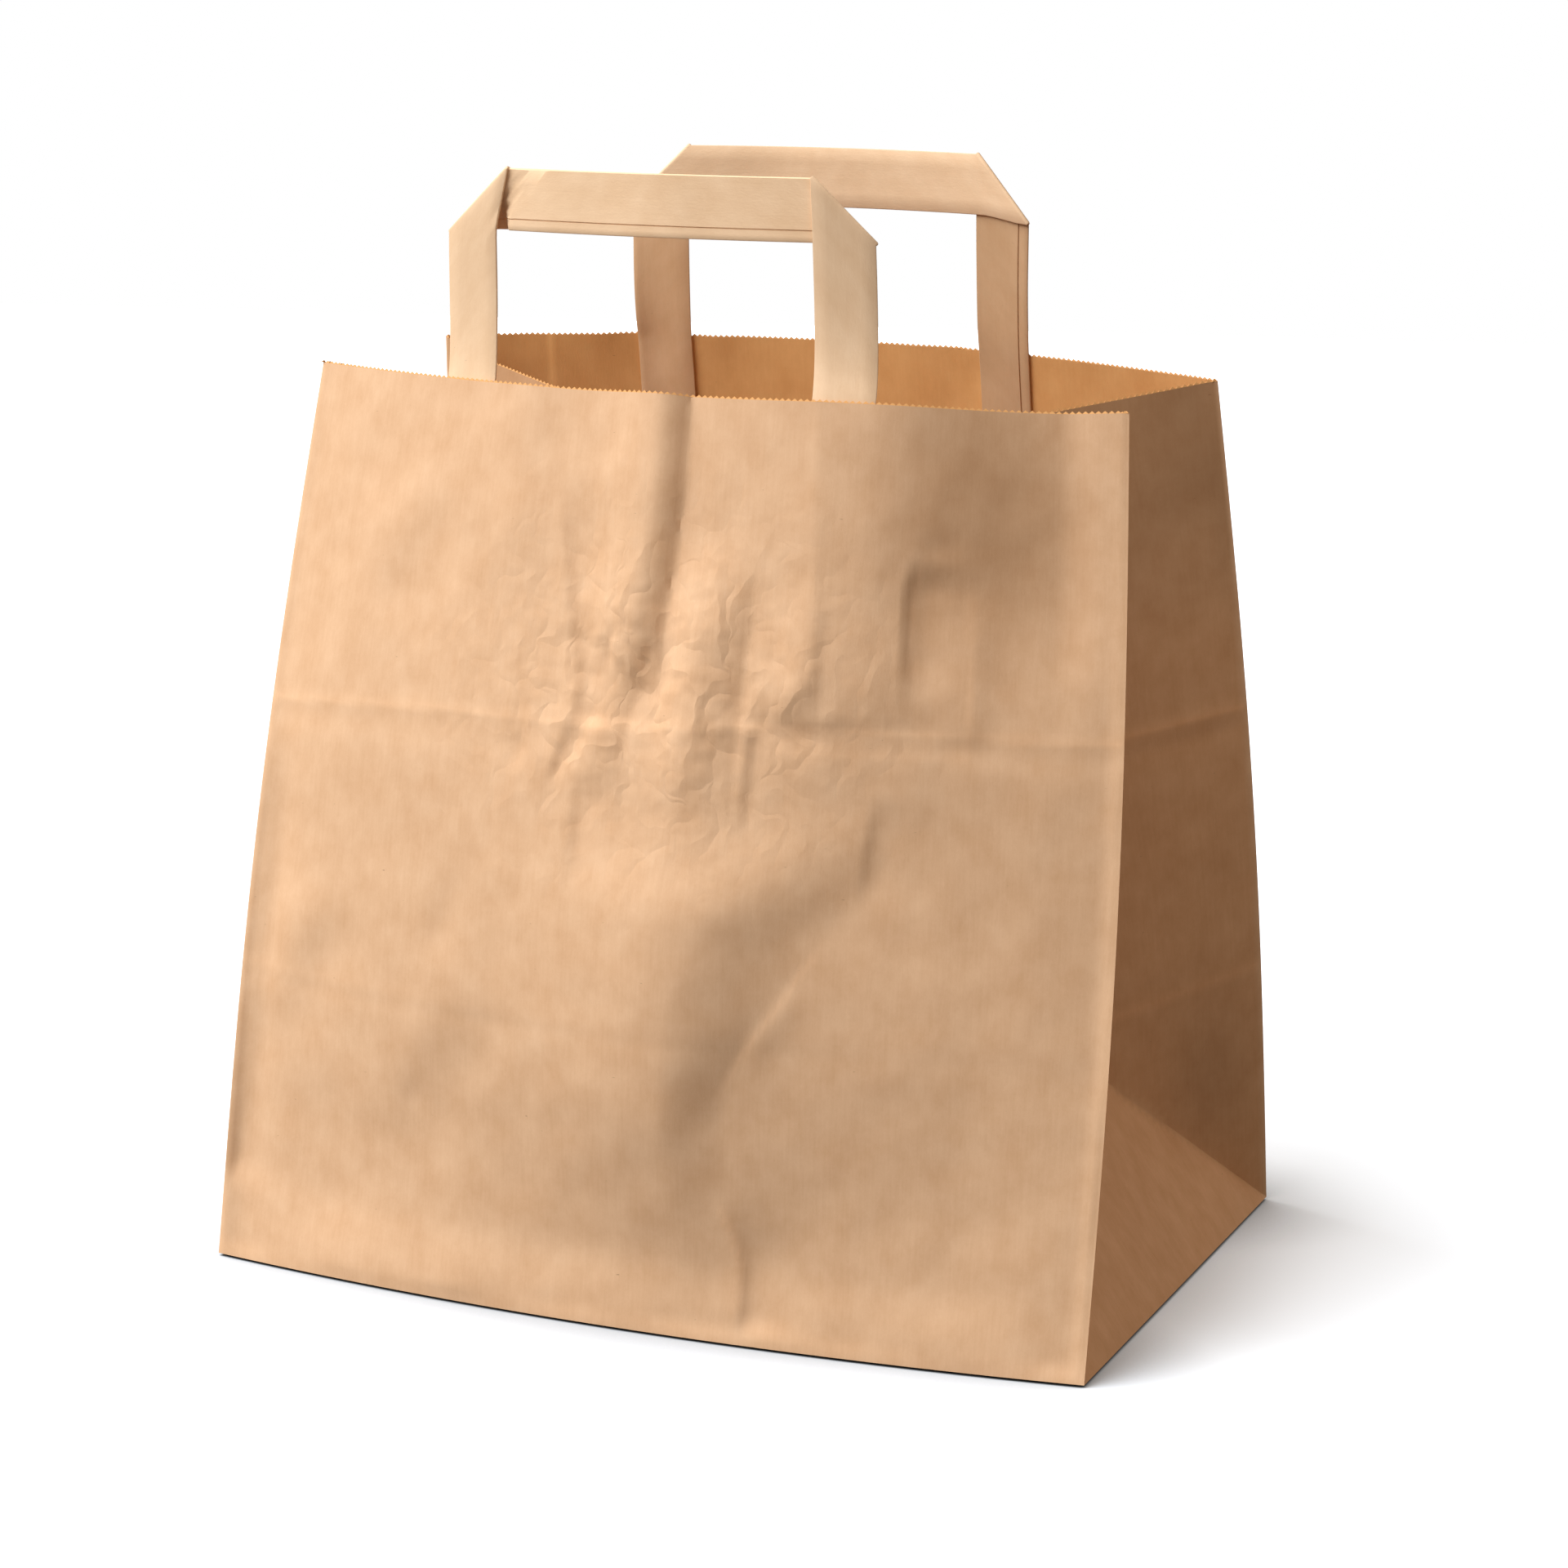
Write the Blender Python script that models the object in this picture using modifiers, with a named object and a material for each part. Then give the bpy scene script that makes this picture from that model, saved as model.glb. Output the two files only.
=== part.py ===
"""A paper carrier bag: one folded kraft sheet with a block bottom, and two flat handles of folded tape.

The bag stands open. X runs along the wide panels, Y from the front panel to the back panel and Z up.
The origin is the centre of the bottom, on the surface that the bag stands on. Sizes are in metres.
A place on the paper is given flat, as its way across the panel from the left fold and its way up
from the bottom fold, and the functions below fold it into space.
"""
import bpy
import bmesh
from math import exp, pi, sin, sqrt
from mathutils import Vector

# Bag sheet, measured on the flat paper
BAG_WIDTH = 0.260
BAG_DEPTH = 0.170
BAG_HEIGHT = 0.250
LEFT_EXTRA_HEIGHT = 0.005
PAPER = 0.0004
LAP_WIDTH = 0.020
LAP_FROM_FOLD = 0.012
BOTTOM_LAP = 0.030
FRONT_FLAP_SETBACK = 0.0022
BACK_FLAP_SETBACK = 0.0012
LAP_FROM_BOTTOM = 0.0012
LAP_ROOT = 0.0002

# How the open bag stands: how far the tops of the corner folds come inwards
FRONT_LEAN = 0.0448
BACK_RIGHT_LEAN = 0.0401
BACK_LEFT_LEAN = 0.0361
FRONT_LEFT_CLOSE = 0.0151
FRONT_RIGHT_CLOSE = 0.0074
BACK_LEFT_CLOSE = 0.0047
BACK_RIGHT_CLOSE = 0.0094

# How the soft panels and folds stand proud of straight lines
BOTTOM_BOW = 0.0097
FRONT_TOP_BOW = 0.025
FRONT_BELLY = 0.006
FRONT_TOP_DIP = 0.001
BACK_TOP_BOW = 0.026
BACK_BELLY = 0.004
BACK_TOP_RISE = 0.003
LEFT_FOLD_BULGE = 0.0040
RIGHT_FOLD_BULGE = 0.0032

# Handles of folded tape, and the glued patches over their legs
TAPE_WIDTH = 0.0165
TAPE_THICKNESS = 0.0008
HANDLE_WIDTH = 0.1275
HANDLE_RISE = 0.0568
HANDLE_BEND = 0.008
FRONT_HANDLE_MIDDLE = -0.0035
BACK_HANDLE_MIDDLE = -0.0055
FOLD_SETBACK = 0.0003
FOLD_OVERLAP = 0.0001
PATCH_WIDTH = 0.188
PATCH_HEIGHT = 0.050
PATCH_FROM_TOP = 0.036
PATCH_THICKNESS = 0.0003
LEG_END_MARGIN = 0.005
GLUE_GAP = 0.0003
PATCH_SHOULDER = 0.0020

# Fineness of the mesh
PANEL_COLUMNS = 16
GUSSET_COLUMNS = 6
UPPER_ROWS = 9
LAP_ROWS = 15
LAP_COLUMNS = 2
LEG_ROWS = 14
BAND_COLUMNS = 16
TAPE_COLUMNS = 3
PATCH_ROWS = 4
PATCH_MIDDLE_COLUMNS = 5
SLOPE_STEP = 0.001

# The folded bottom is three sheets thick in the middle: the bottom itself over two flaps
BOTTOM_LEVEL = 2 * PAPER
HALF_DEPTH = BAG_DEPTH / 2
HALF_WIDTH = BAG_WIDTH / 2


def corner_fold(end, face):
    """The ends of a corner fold and its outward bulge; end -1 is left, 1 right; face -1 is front, 1 back."""
    close = {
        (-1, -1): FRONT_LEFT_CLOSE, (1, -1): FRONT_RIGHT_CLOSE,
        (-1, 1): BACK_LEFT_CLOSE, (1, 1): BACK_RIGHT_CLOSE,
    }[end, face]
    back_lean = BACK_LEFT_LEAN if end < 0 else BACK_RIGHT_LEAN
    lean = FRONT_LEAN if face < 0 else back_lean
    length = side_height(end)
    rise = sqrt(length ** 2 - close ** 2 - lean ** 2)
    bottom = Vector((end * HALF_WIDTH, face * HALF_DEPTH, BOTTOM_LEVEL))
    top = bottom + Vector((-end * close, -face * lean, rise))
    bulge = Vector((end * (LEFT_FOLD_BULGE if end < 0 else RIGHT_FOLD_BULGE), 0, 0))
    return bottom, top, bulge


def side_height(end):
    """Length of the paper from the bottom fold to the top edge at the left or the right side."""
    return BAG_HEIGHT + (LEFT_EXTRA_HEIGHT if end < 0 else 0)


def on_corner_fold(end, face, up):
    """The point of a corner fold that lies `up` along the paper."""
    bottom, top, bulge = corner_fold(end, face)
    share = up / side_height(end)
    return bottom.lerp(top, share) + bulge * sin(pi * min(share, 1))


def meeting_point(a, b, reach, c, reach_c, towards):
    """The point at one distance from a and from b and another from c, on the side of `towards`."""
    along = (b - a).normalized()
    middle = (a + b) / 2
    across = (c - middle) - along * (c - middle).dot(along)
    flat = across.normalized()
    side = along.cross(flat)
    radius_squared = reach ** 2 - (b - a).length_squared / 4
    reach_flat_squared = reach_c ** 2 - (c - middle).dot(along) ** 2
    step = (radius_squared + across.length_squared - reach_flat_squared) / (2 * across.length)
    offset = side * sqrt(radius_squared - step ** 2)
    points = (middle + flat * step + offset, middle + flat * step - offset)
    return min(points, key=lambda point: (point - towards).length)


def gusset_folds(end):
    """The apex of the gusset's bottom triangle, and the top of its middle fold."""
    front_bottom, front_top, _ = corner_fold(end, -1)
    back_bottom, back_top, _ = corner_fold(end, 1)
    share = HALF_DEPTH / side_height(end)
    front_crease = front_bottom.lerp(front_top, share)
    back_crease = back_bottom.lerp(back_top, share)
    crease_middle = (front_crease + back_crease) / 2
    reach_to_middle = sqrt(HALF_DEPTH ** 2 - (back_crease - front_crease).length_squared / 4)
    inside = Vector((0, 0, HALF_DEPTH))
    diagonal = HALF_DEPTH * sqrt(2)
    apex = meeting_point(front_bottom, back_bottom, diagonal, crease_middle, reach_to_middle, inside)
    inside_top = Vector((0, 0, BAG_HEIGHT))
    above_apex = side_height(end) - HALF_DEPTH
    top = meeting_point(front_top, back_top, HALF_DEPTH, apex, above_apex, inside_top)
    return apex, top


def on_panel(face, share, rise):
    """A point of the front or back panel, as shares of its width from the left and of its height."""
    left = on_corner_fold(-1, face, rise * side_height(-1))
    right = on_corner_fold(1, face, rise * side_height(1))
    crown = 4 * share * (1 - share)
    top_bow, belly, lift = {
        -1: (FRONT_TOP_BOW, FRONT_BELLY, -FRONT_TOP_DIP),
        1: (BACK_TOP_BOW, BACK_BELLY, BACK_TOP_RISE),
    }[face]
    proud = BOTTOM_BOW + (top_bow - BOTTOM_BOW) * rise + belly * 4 * min(rise, 1) * (1 - rise)
    return left.lerp(right, share) + Vector((0, face * proud * crown, lift * rise * crown))


def panel_at(face, x, above):
    """A point of a panel's outer face at x, and `above` its top edge, which is negative on the panel."""
    rise = 1 + above / BAG_HEIGHT
    left = on_corner_fold(-1, face, rise * side_height(-1)).x
    right = on_corner_fold(1, face, rise * side_height(1)).x
    return on_panel(face, (x - left) / (right - left), rise)


def handle_sheet(face, x, above):
    """The panel's outer face, which above the top edge bends upright, as the handle stands."""
    if above <= 0:
        return panel_at(face, x, above)
    edge = panel_at(face, x, 0)
    leaving = (edge - panel_at(face, x, -SLOPE_STEP)) / SLOPE_STEP
    standing = Vector((0, 0, 1))
    bend = HANDLE_BEND * (1 - exp(-above / HANDLE_BEND))
    return edge + standing * above + (leaving - standing) * bend


def inside_sheet(face, x, above, depth):
    """A point `depth` inside that face, towards the middle of the bag."""
    sideways = handle_sheet(face, x + SLOPE_STEP, above) - handle_sheet(face, x - SLOPE_STEP, above)
    upwards = handle_sheet(face, x, above + SLOPE_STEP) - handle_sheet(face, x, above - SLOPE_STEP)
    outward = sideways.cross(upwards).normalized() * -face
    return handle_sheet(face, x, above) - outward * depth


def on_gusset(end, face, inward, up):
    """A point of one half of a gusset, `inward` from its corner fold towards its middle fold."""
    bottom, _, _ = corner_fold(end, face)
    apex, middle_top = gusset_folds(end)
    fold = on_corner_fold(end, face, up)
    height = side_height(end)
    across = inward / HALF_DEPTH
    if up >= HALF_DEPTH:
        middle = apex.lerp(middle_top, (up - HALF_DEPTH) / (height - HALF_DEPTH))
        return fold.lerp(middle, across)
    if up >= inward:
        crease = on_corner_fold(end, face, HALF_DEPTH)
        return fold + (apex - crease) * across
    opposite, _, _ = corner_fold(end, -face)
    bottom_middle = (bottom + opposite) / 2
    return bottom.lerp(bottom_middle, across) + (apex - bottom_middle) * (up / HALF_DEPTH)


def clear_scene():
    for item in list(bpy.data.objects):
        bpy.data.objects.remove(item, do_unlink=True)


def make_collection(name):
    collection = bpy.data.collections.new(name)
    bpy.context.scene.collection.children.link(collection)
    return collection


def paper_material(name, colour, roughness):
    material = bpy.data.materials.new(name)
    material.use_nodes = True
    shader = material.node_tree.nodes["Principled BSDF"]
    shader.inputs["Base Color"].default_value = (*colour, 1)
    shader.inputs["Roughness"].default_value = roughness
    shader.inputs["Metallic"].default_value = 0
    return material


def object_from_bmesh(name, mesh_data, collection, material=None):
    mesh = bpy.data.meshes.new(name)
    bmesh.ops.recalc_face_normals(mesh_data, faces=mesh_data.faces)
    mesh_data.to_mesh(mesh)
    mesh_data.free()
    item = bpy.data.objects.new(name, mesh)
    collection.objects.link(item)
    if material:
        mesh.materials.append(material)
    return item


def grid_faces(mesh_data, grid, split=None):
    """Faces between the rows of a grid of vertices; split says which cells are cut along a diagonal."""
    for row in range(len(grid) - 1):
        for column in range(len(grid[row]) - 1):
            a, b = grid[row][column], grid[row][column + 1]
            d, c = grid[row + 1][column], grid[row + 1][column + 1]
            cut = split(row, column) if split else None
            if cut == "rising":
                mesh_data.faces.new((a, b, c))
                mesh_data.faces.new((a, c, d))
            elif cut == "falling":
                mesh_data.faces.new((a, b, d))
                mesh_data.faces.new((b, c, d))
            else:
                mesh_data.faces.new((a, b, c, d))


def paper_rows():
    """Heights of the rows of vertices, as (level below the crease, share above the crease) pairs."""
    lower = [(HALF_DEPTH * row / GUSSET_COLUMNS, 0) for row in range(GUSSET_COLUMNS)]
    upper = [(HALF_DEPTH, row / UPPER_ROWS) for row in range(UPPER_ROWS + 1)]
    return lower + upper


def tube_points(level, share):
    """One round of the folded tube: front panel, right gusset, back panel and left gusset."""
    points = [panel_vertex(-1, column, level, share) for column in range(PANEL_COLUMNS)]
    for end, first, last in ((1, -1, 1), (-1, 1, -1)):
        up = level + share * (side_height(end) - level)
        for step in range(2 * GUSSET_COLUMNS):
            face = first if step < GUSSET_COLUMNS else last
            steps_in = GUSSET_COLUMNS - abs(step - GUSSET_COLUMNS)
            points.append(on_gusset(end, face, HALF_DEPTH * steps_in / GUSSET_COLUMNS, up))
        if end > 0:
            points += [panel_vertex(1, column, level, share) for column in range(PANEL_COLUMNS, 0, -1)]
    return points


def panel_vertex(face, column, level, share):
    """A vertex of the front or back panel, by its column from the left and its row's level and share."""
    across = column / PANEL_COLUMNS
    height = side_height(-1) + (side_height(1) - side_height(-1)) * across
    return on_panel(face, across, (level + share * (height - level)) / height)


def bag_sheet(collection, material):
    """The folded sheet as one open surface: the tube on its bottom, given its thickness inwards."""
    data = bmesh.new()
    rounds = []
    for level, share in paper_rows():
        ring = [data.verts.new(point) for point in tube_points(level, share)]
        rounds.append(ring + [ring[0]])

    gusset_starts = (PANEL_COLUMNS, 2 * PANEL_COLUMNS + 2 * GUSSET_COLUMNS)

    def diagonal(row, column):
        for start in gusset_starts:
            step = column - start
            if row < GUSSET_COLUMNS and step == row:
                return "rising"
            if row < GUSSET_COLUMNS and step == 2 * GUSSET_COLUMNS - 1 - row:
                return "falling"
        return None

    grid_faces(data, rounds, diagonal)
    add_bottom(data, rounds[0])
    item = object_from_bmesh("bag_body", data, collection, material)
    thickness = item.modifiers.new("paper thickness", "SOLIDIFY")
    thickness.thickness = PAPER
    thickness.offset = -1
    thickness.use_even_offset = True
    return item


def add_bottom(data, edge):
    """Fill the bottom between the lowest round's four sides with a grid of faces."""
    depth_steps = 2 * GUSSET_COLUMNS
    front = edge[:PANEL_COLUMNS + 1]
    right = edge[PANEL_COLUMNS:PANEL_COLUMNS + depth_steps + 1]
    back = edge[PANEL_COLUMNS + depth_steps:2 * PANEL_COLUMNS + depth_steps + 1][::-1]
    left = edge[2 * PANEL_COLUMNS + depth_steps:][::-1]
    grid = [front]
    for row in range(1, depth_steps):
        share = row / depth_steps
        middle = []
        for column in range(1, PANEL_COLUMNS):
            middle.append(data.verts.new(front[column].co.lerp(back[column].co, share)))
        grid.append([left[row]] + middle + [right[row]])
    grid.append(back)
    grid_faces(data, grid)


def bent_slab(name, rows, near, far, collection, material=None):
    """A closed slab between two copies of a grid of (face, x, above) places, near and far inside a panel."""
    data = bmesh.new()
    layers = []
    for depth in (near, far):
        layer = []
        for row in rows:
            layer.append([data.verts.new(inside_sheet(*place, depth(place))) for place in row])
        layers.append(layer)
        grid_faces(data, layer)
    rims = []
    for layer in layers:
        right_rim = [row[-1] for row in layer[1:]]
        left_rim = [row[0] for row in layer[1:-1]]
        rims.append(layer[0] + right_rim + layer[-1][-2::-1] + left_rim[::-1])
    grid_faces(data, [rim + rim[:1] for rim in rims])
    return object_from_bmesh(name, data, collection, material)


def as_guide(item):
    """Mark an object as a shape that only serves a modifier."""
    item.hide_render = True
    item.display_type = "WIRE"


def union(target, others):
    for other in others:
        as_guide(other)
        joined = target.modifiers.new("join " + other.name, "BOOLEAN")
        joined.operation = "UNION"
        joined.solver = "EXACT"
        joined.object = other


def bottom_flap(name, face, setback, underside, top, collection):
    """A glued flap of the block bottom, as wide as its fold, with 45 degree ends, to past the middle."""
    data = bmesh.new()
    reach = HALF_DEPTH + BOTTOM_LAP / 2
    fold = [on_panel(face, column / PANEL_COLUMNS, 0) for column in range(PANEL_COLUMNS + 1)]
    narrow = (HALF_WIDTH - setback - reach) / HALF_WIDTH
    wide = (HALF_WIDTH - 2 * setback) / HALF_WIDTH
    outline = [Vector((point.x * wide, point.y - face * setback, 0)) for point in fold]
    edge_y = face * (HALF_DEPTH - reach)
    outline += [Vector((point.x * narrow, edge_y, 0)) for point in reversed(fold)]
    layers = []
    for level in (underside, top):
        layer = [data.verts.new((point.x, point.y, level)) for point in outline]
        data.faces.new(layer)
        layers.append(layer + layer[:1])
    grid_faces(data, layers)
    return object_from_bmesh(name, data, collection)


def lap_seam(collection):
    """The glued lap of the tube: the edge of the sheet lies over the back panel beside the left fold."""
    rows = []
    for row in range(LAP_ROWS + 1):
        below = (BAG_HEIGHT - LAP_FROM_BOTTOM) * (1 - row / LAP_ROWS)
        fold_x = on_corner_fold(-1, 1, side_height(-1) * (1 - below / BAG_HEIGHT)).x
        lap_edge = fold_x + LAP_FROM_FOLD
        step = LAP_WIDTH / LAP_COLUMNS
        rows.append([(1, lap_edge + step * column, -below) for column in range(LAP_COLUMNS + 1)])
    return bent_slab("lap seam", rows, lambda place: -PAPER, lambda place: LAP_ROOT, collection)


def handle_edges(middle):
    """Where the handle's left and right outer edges lie along X."""
    return middle - HANDLE_WIDTH / 2, middle + HANDLE_WIDTH / 2


def tape_handle(name, face, middle, collection, cutters, material):
    """One tape folded twice at 45 degrees: two legs next to the panel and a top band on their inner side."""
    left, right = handle_edges(middle)
    leg_end = LEG_END_MARGIN - PATCH_FROM_TOP - PATCH_HEIGHT
    top = HANDLE_RISE
    leg_near = PAPER + GLUE_GAP
    leg_far = leg_near + TAPE_THICKNESS
    band_near = leg_far - FOLD_OVERLAP
    band_far = band_near + TAPE_THICKNESS

    legs = []
    for outer, step_in in ((left, 1), (right, -1)):
        rows = []
        for row in range(LEG_ROWS + 1):
            places = []
            for column in range(TAPE_COLUMNS + 1):
                inwards = TAPE_WIDTH * column / TAPE_COLUMNS
                folded_end = top - TAPE_WIDTH + inwards
                above = leg_end + (folded_end - leg_end) * row / LEG_ROWS
                places.append((face, outer + step_in * inwards, above))
            rows.append(places)
        legs.append(rows)

    band = []
    for row in range(TAPE_COLUMNS + 1):
        height = TAPE_WIDTH * row / TAPE_COLUMNS
        start = left + FOLD_SETBACK + height
        stop = right - FOLD_SETBACK - height
        level = top - TAPE_WIDTH + height
        step = (stop - start) / BAND_COLUMNS
        band.append([(face, start + step * column, level) for column in range(BAND_COLUMNS + 1)])

    handle = bent_slab(name, band, lambda place: band_near, lambda place: band_far, collection, material)
    leg_slabs = []
    for side, rows in zip(("left leg", "right leg"), legs):
        slab = bent_slab(name + " " + side, rows, lambda place: leg_near, lambda place: leg_far, cutters)
        leg_slabs.append(slab)
    union(handle, leg_slabs)
    return handle


def handle_patch(name, face, middle, collection, material):
    """The rectangle glued over the ends of the legs: flat on the panel, and raised over each leg."""
    left, right = handle_edges(middle)
    on_paper = PAPER + GLUE_GAP
    over_leg = on_paper + TAPE_THICKNESS + GLUE_GAP
    leg_spans = ((left, left + TAPE_WIDTH), (right - TAPE_WIDTH, right))

    def near(place):
        x = place[1]
        beside = min(max(low - x, x - high, 0) for low, high in leg_spans)
        raised = max(0, 1 - max(0, beside - GLUE_GAP) / PATCH_SHOULDER)
        return on_paper + (over_leg - on_paper) * raised

    start, stop = middle - PATCH_WIDTH / 2, middle + PATCH_WIDTH / 2
    columns = [start, (start + left) / 2, (stop + right) / 2, stop]
    for low, high in leg_spans:
        columns += [low - GLUE_GAP - PATCH_SHOULDER, low - GLUE_GAP, (low + high) / 2]
        columns += [high + GLUE_GAP, high + GLUE_GAP + PATCH_SHOULDER]
    gap_start = left + TAPE_WIDTH
    gap_stop = right - TAPE_WIDTH
    for step in range(1, PATCH_MIDDLE_COLUMNS):
        columns.append(gap_start + (gap_stop - gap_start) * step / PATCH_MIDDLE_COLUMNS)
    columns.sort()
    rows = []
    for row in range(PATCH_ROWS + 1):
        below = PATCH_FROM_TOP + PATCH_HEIGHT * (1 - row / PATCH_ROWS)
        rows.append([(face, x, -below) for x in columns])
    return bent_slab(name, rows, near, lambda place: near(place) + PATCH_THICKNESS, collection, material)


def build():
    clear_scene()
    bag = make_collection("paper carrier bag")
    cutters = make_collection("joining shapes")
    body_paper = paper_material("kraft paper", (0.56, 0.36, 0.20), 0.75)
    tape_paper = paper_material("handle tape", (0.60, 0.40, 0.23), 0.7)
    patch_paper = paper_material("patch paper", (0.54, 0.35, 0.20), 0.8)

    body = bag_sheet(bag, body_paper)
    front_flap = bottom_flap(
        "front bottom flap", -1, FRONT_FLAP_SETBACK, BOTTOM_LEVEL - PAPER, BOTTOM_LEVEL + PAPER / 2, cutters)
    back_flap = bottom_flap(
        "back bottom flap", 1, BACK_FLAP_SETBACK, 0, BOTTOM_LEVEL + PAPER / 4, cutters)
    union(body, [front_flap, back_flap, lap_seam(cutters)])

    tape_handle("front_handle", -1, FRONT_HANDLE_MIDDLE, bag, cutters, tape_paper)
    tape_handle("back_handle", 1, BACK_HANDLE_MIDDLE, bag, cutters, tape_paper)
    handle_patch("front_handle_patch", -1, FRONT_HANDLE_MIDDLE, bag, patch_paper)
    handle_patch("back_handle_patch", 1, BACK_HANDLE_MIDDLE, bag, patch_paper)


build()
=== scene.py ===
"""The looks of a brown kraft paper carrier bag with a block bottom and flat tape handles, standing open."""
import math
import bmesh
import bpy
import numpy as np
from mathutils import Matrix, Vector, noise


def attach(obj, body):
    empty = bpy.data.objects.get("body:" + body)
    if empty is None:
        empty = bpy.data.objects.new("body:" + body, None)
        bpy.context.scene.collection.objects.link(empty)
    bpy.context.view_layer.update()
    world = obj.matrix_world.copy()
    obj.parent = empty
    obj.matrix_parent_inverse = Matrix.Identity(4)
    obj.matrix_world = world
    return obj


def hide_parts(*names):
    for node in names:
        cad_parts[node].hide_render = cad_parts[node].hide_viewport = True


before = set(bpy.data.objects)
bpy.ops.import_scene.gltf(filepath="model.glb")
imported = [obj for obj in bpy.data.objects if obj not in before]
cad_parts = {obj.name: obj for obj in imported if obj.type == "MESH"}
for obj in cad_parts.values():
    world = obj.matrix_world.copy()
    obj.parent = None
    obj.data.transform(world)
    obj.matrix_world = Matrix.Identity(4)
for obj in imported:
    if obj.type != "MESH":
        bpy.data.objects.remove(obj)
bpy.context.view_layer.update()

# Bag body. One sheet of brown kraft paper, folded to a tube with two side gussets and a block bottom.
# It is glued along one lap seam and at the bottom flaps, and its top edge is cut with a toothed knife.
# Lengths are in millimetres; u and v are places on the flat sheet, across from its left front fold and up.
BAG_WIDTH, BAG_DEPTH, BAG_HEIGHT, LEFT_EXTRA = 260.0, 170.0, 250.0, 5.0
HALF_WIDTH, HALF_DEPTH = BAG_WIDTH / 2, BAG_DEPTH / 2
BOTTOM_LEVEL, SHEET = 0.8, 0.25
# by end (-1 left, 1 right) and face (-1 front, 1 back): how far each corner fold closes and leans in at its top
CLOSE = {(-1, -1): 15.1, (1, -1): 7.4, (-1, 1): 4.7, (1, 1): 9.4}
LEAN = {(-1, -1): 44.8, (1, -1): 44.8, (-1, 1): 36.1, (1, 1): 40.1}
FOLD_BULGE = {-1: 4.0, 1: 3.2}
# how far the panels bow out at the bottom, at the top and between them, and how far their top edges rise
BOTTOM_BOW, TOP_BOW, BELLY, EDGE_LIFT = 9.7, {-1: 25.0, 1: 26.0}, {-1: 6.0, 1: 4.0}, {-1: -1.0, 1: 3.0}
TOOTH_PITCH, TOOTH_DEPTH = 1.72, 0.7
SEAM_FROM_FOLD = 32.0
# heights of the flat pack's creases, and the foot of the front panel's slanting valley
FRONT_LOWER_CREASE, LOWER_CREASE, GUSSET_UPPER_CREASE, BACK_UPPER_CREASE = 83.5, 77, 155.5, 156
VALLEY_FOOT = [(163.2, 75), (169.3, 85), (175.1, 92.6), (180.1, 101.6), (187.3, 110.8)]
# where the four corner folds and the gussets' middle folds lie on the flat sheet
FULL_TURN = 2 * (BAG_WIDTH + BAG_DEPTH)
CORNER_FOLDS = FRONT_RIGHT, BACK_RIGHT, BACK_LEFT = (BAG_WIDTH, BAG_WIDTH + BAG_DEPTH, FULL_TURN - BAG_DEPTH)
RIGHT_MIDDLE, LEFT_MIDDLE = FRONT_RIGHT + HALF_DEPTH, BACK_LEFT + HALF_DEPTH
PANEL_COLUMNS, BACK_COLUMNS, GUSSET_COLUMNS, UPPER_ROWS = 158, 72, 36, 80


def side_height(end):
    return BAG_HEIGHT + (LEFT_EXTRA if end < 0 else 0)


def corner_fold(end, face):
    """Ends of a corner fold and its outward bulge; end -1 is left, 1 right; face -1 is front, 1 back."""
    close, lean = CLOSE[end, face], LEAN[end, face]
    rise = math.sqrt(side_height(end) ** 2 - close ** 2 - lean ** 2)
    bottom = np.array([end * HALF_WIDTH, face * HALF_DEPTH, BOTTOM_LEVEL])
    return bottom, bottom + [-end * close, -face * lean, rise], np.array([end * FOLD_BULGE[end], 0, 0])


def on_corner_fold(end, face, up):
    bottom, top, bulge = corner_fold(end, face)
    share = np.asarray(up)[..., None] / side_height(end)
    return bottom + (top - bottom) * share + bulge * np.sin(np.pi * np.minimum(share, 1))


def meeting_point(a, b, reach, c, reach_c, towards):
    """The point at one distance from a and b and another from c, on the side of `towards`."""
    along = (b - a) / np.linalg.norm(b - a)
    middle = (a + b) / 2
    across = (c - middle) - along * ((c - middle) @ along)
    size = np.linalg.norm(across)
    flat = across / size
    radius = reach ** 2 - (b - a) @ (b - a) / 4
    step = (radius + size ** 2 - reach_c ** 2 + ((c - middle) @ along) ** 2) / (2 * size)
    offset = np.cross(along, flat) * math.sqrt(radius - step ** 2)
    found = (middle + flat * step + offset, middle + flat * step - offset)
    return min(found, key=lambda point: np.linalg.norm(point - towards))


def gusset_folds(end):
    """The apex of the gusset's bottom triangle, and the top of its middle fold."""
    front_bottom, front_top, _ = corner_fold(end, -1)
    back_bottom, back_top, _ = corner_fold(end, 1)
    share = HALF_DEPTH / side_height(end)
    front_crease = front_bottom + (front_top - front_bottom) * share
    back_crease = back_bottom + (back_top - back_bottom) * share
    gap = back_crease - front_crease
    reach = math.sqrt(HALF_DEPTH ** 2 - gap @ gap / 4)
    apex = meeting_point(front_bottom, back_bottom, HALF_DEPTH * math.sqrt(2),
                         (front_crease + back_crease) / 2, reach, np.array([0, 0, HALF_DEPTH]))
    top = meeting_point(front_top, back_top, HALF_DEPTH, apex, side_height(end) - HALF_DEPTH,
                        np.array([0, 0, BAG_HEIGHT]))
    return apex, top


def on_panel(face, share, rise):
    """Points of the front or back panel, by shares of its width from the left and of its height."""
    left = on_corner_fold(-1, face, rise * side_height(-1))
    right = on_corner_fold(1, face, rise * side_height(1))
    crown = 4 * share * (1 - share)
    proud = BOTTOM_BOW + (TOP_BOW[face] - BOTTOM_BOW) * rise + BELLY[face] * 4 * np.minimum(rise, 1) * (1 - rise)
    points = left + (right - left) * np.asarray(share)[..., None]
    points[..., 1] += face * proud * crown
    points[..., 2] += EDGE_LIFT[face] * rise * crown
    return points


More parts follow.
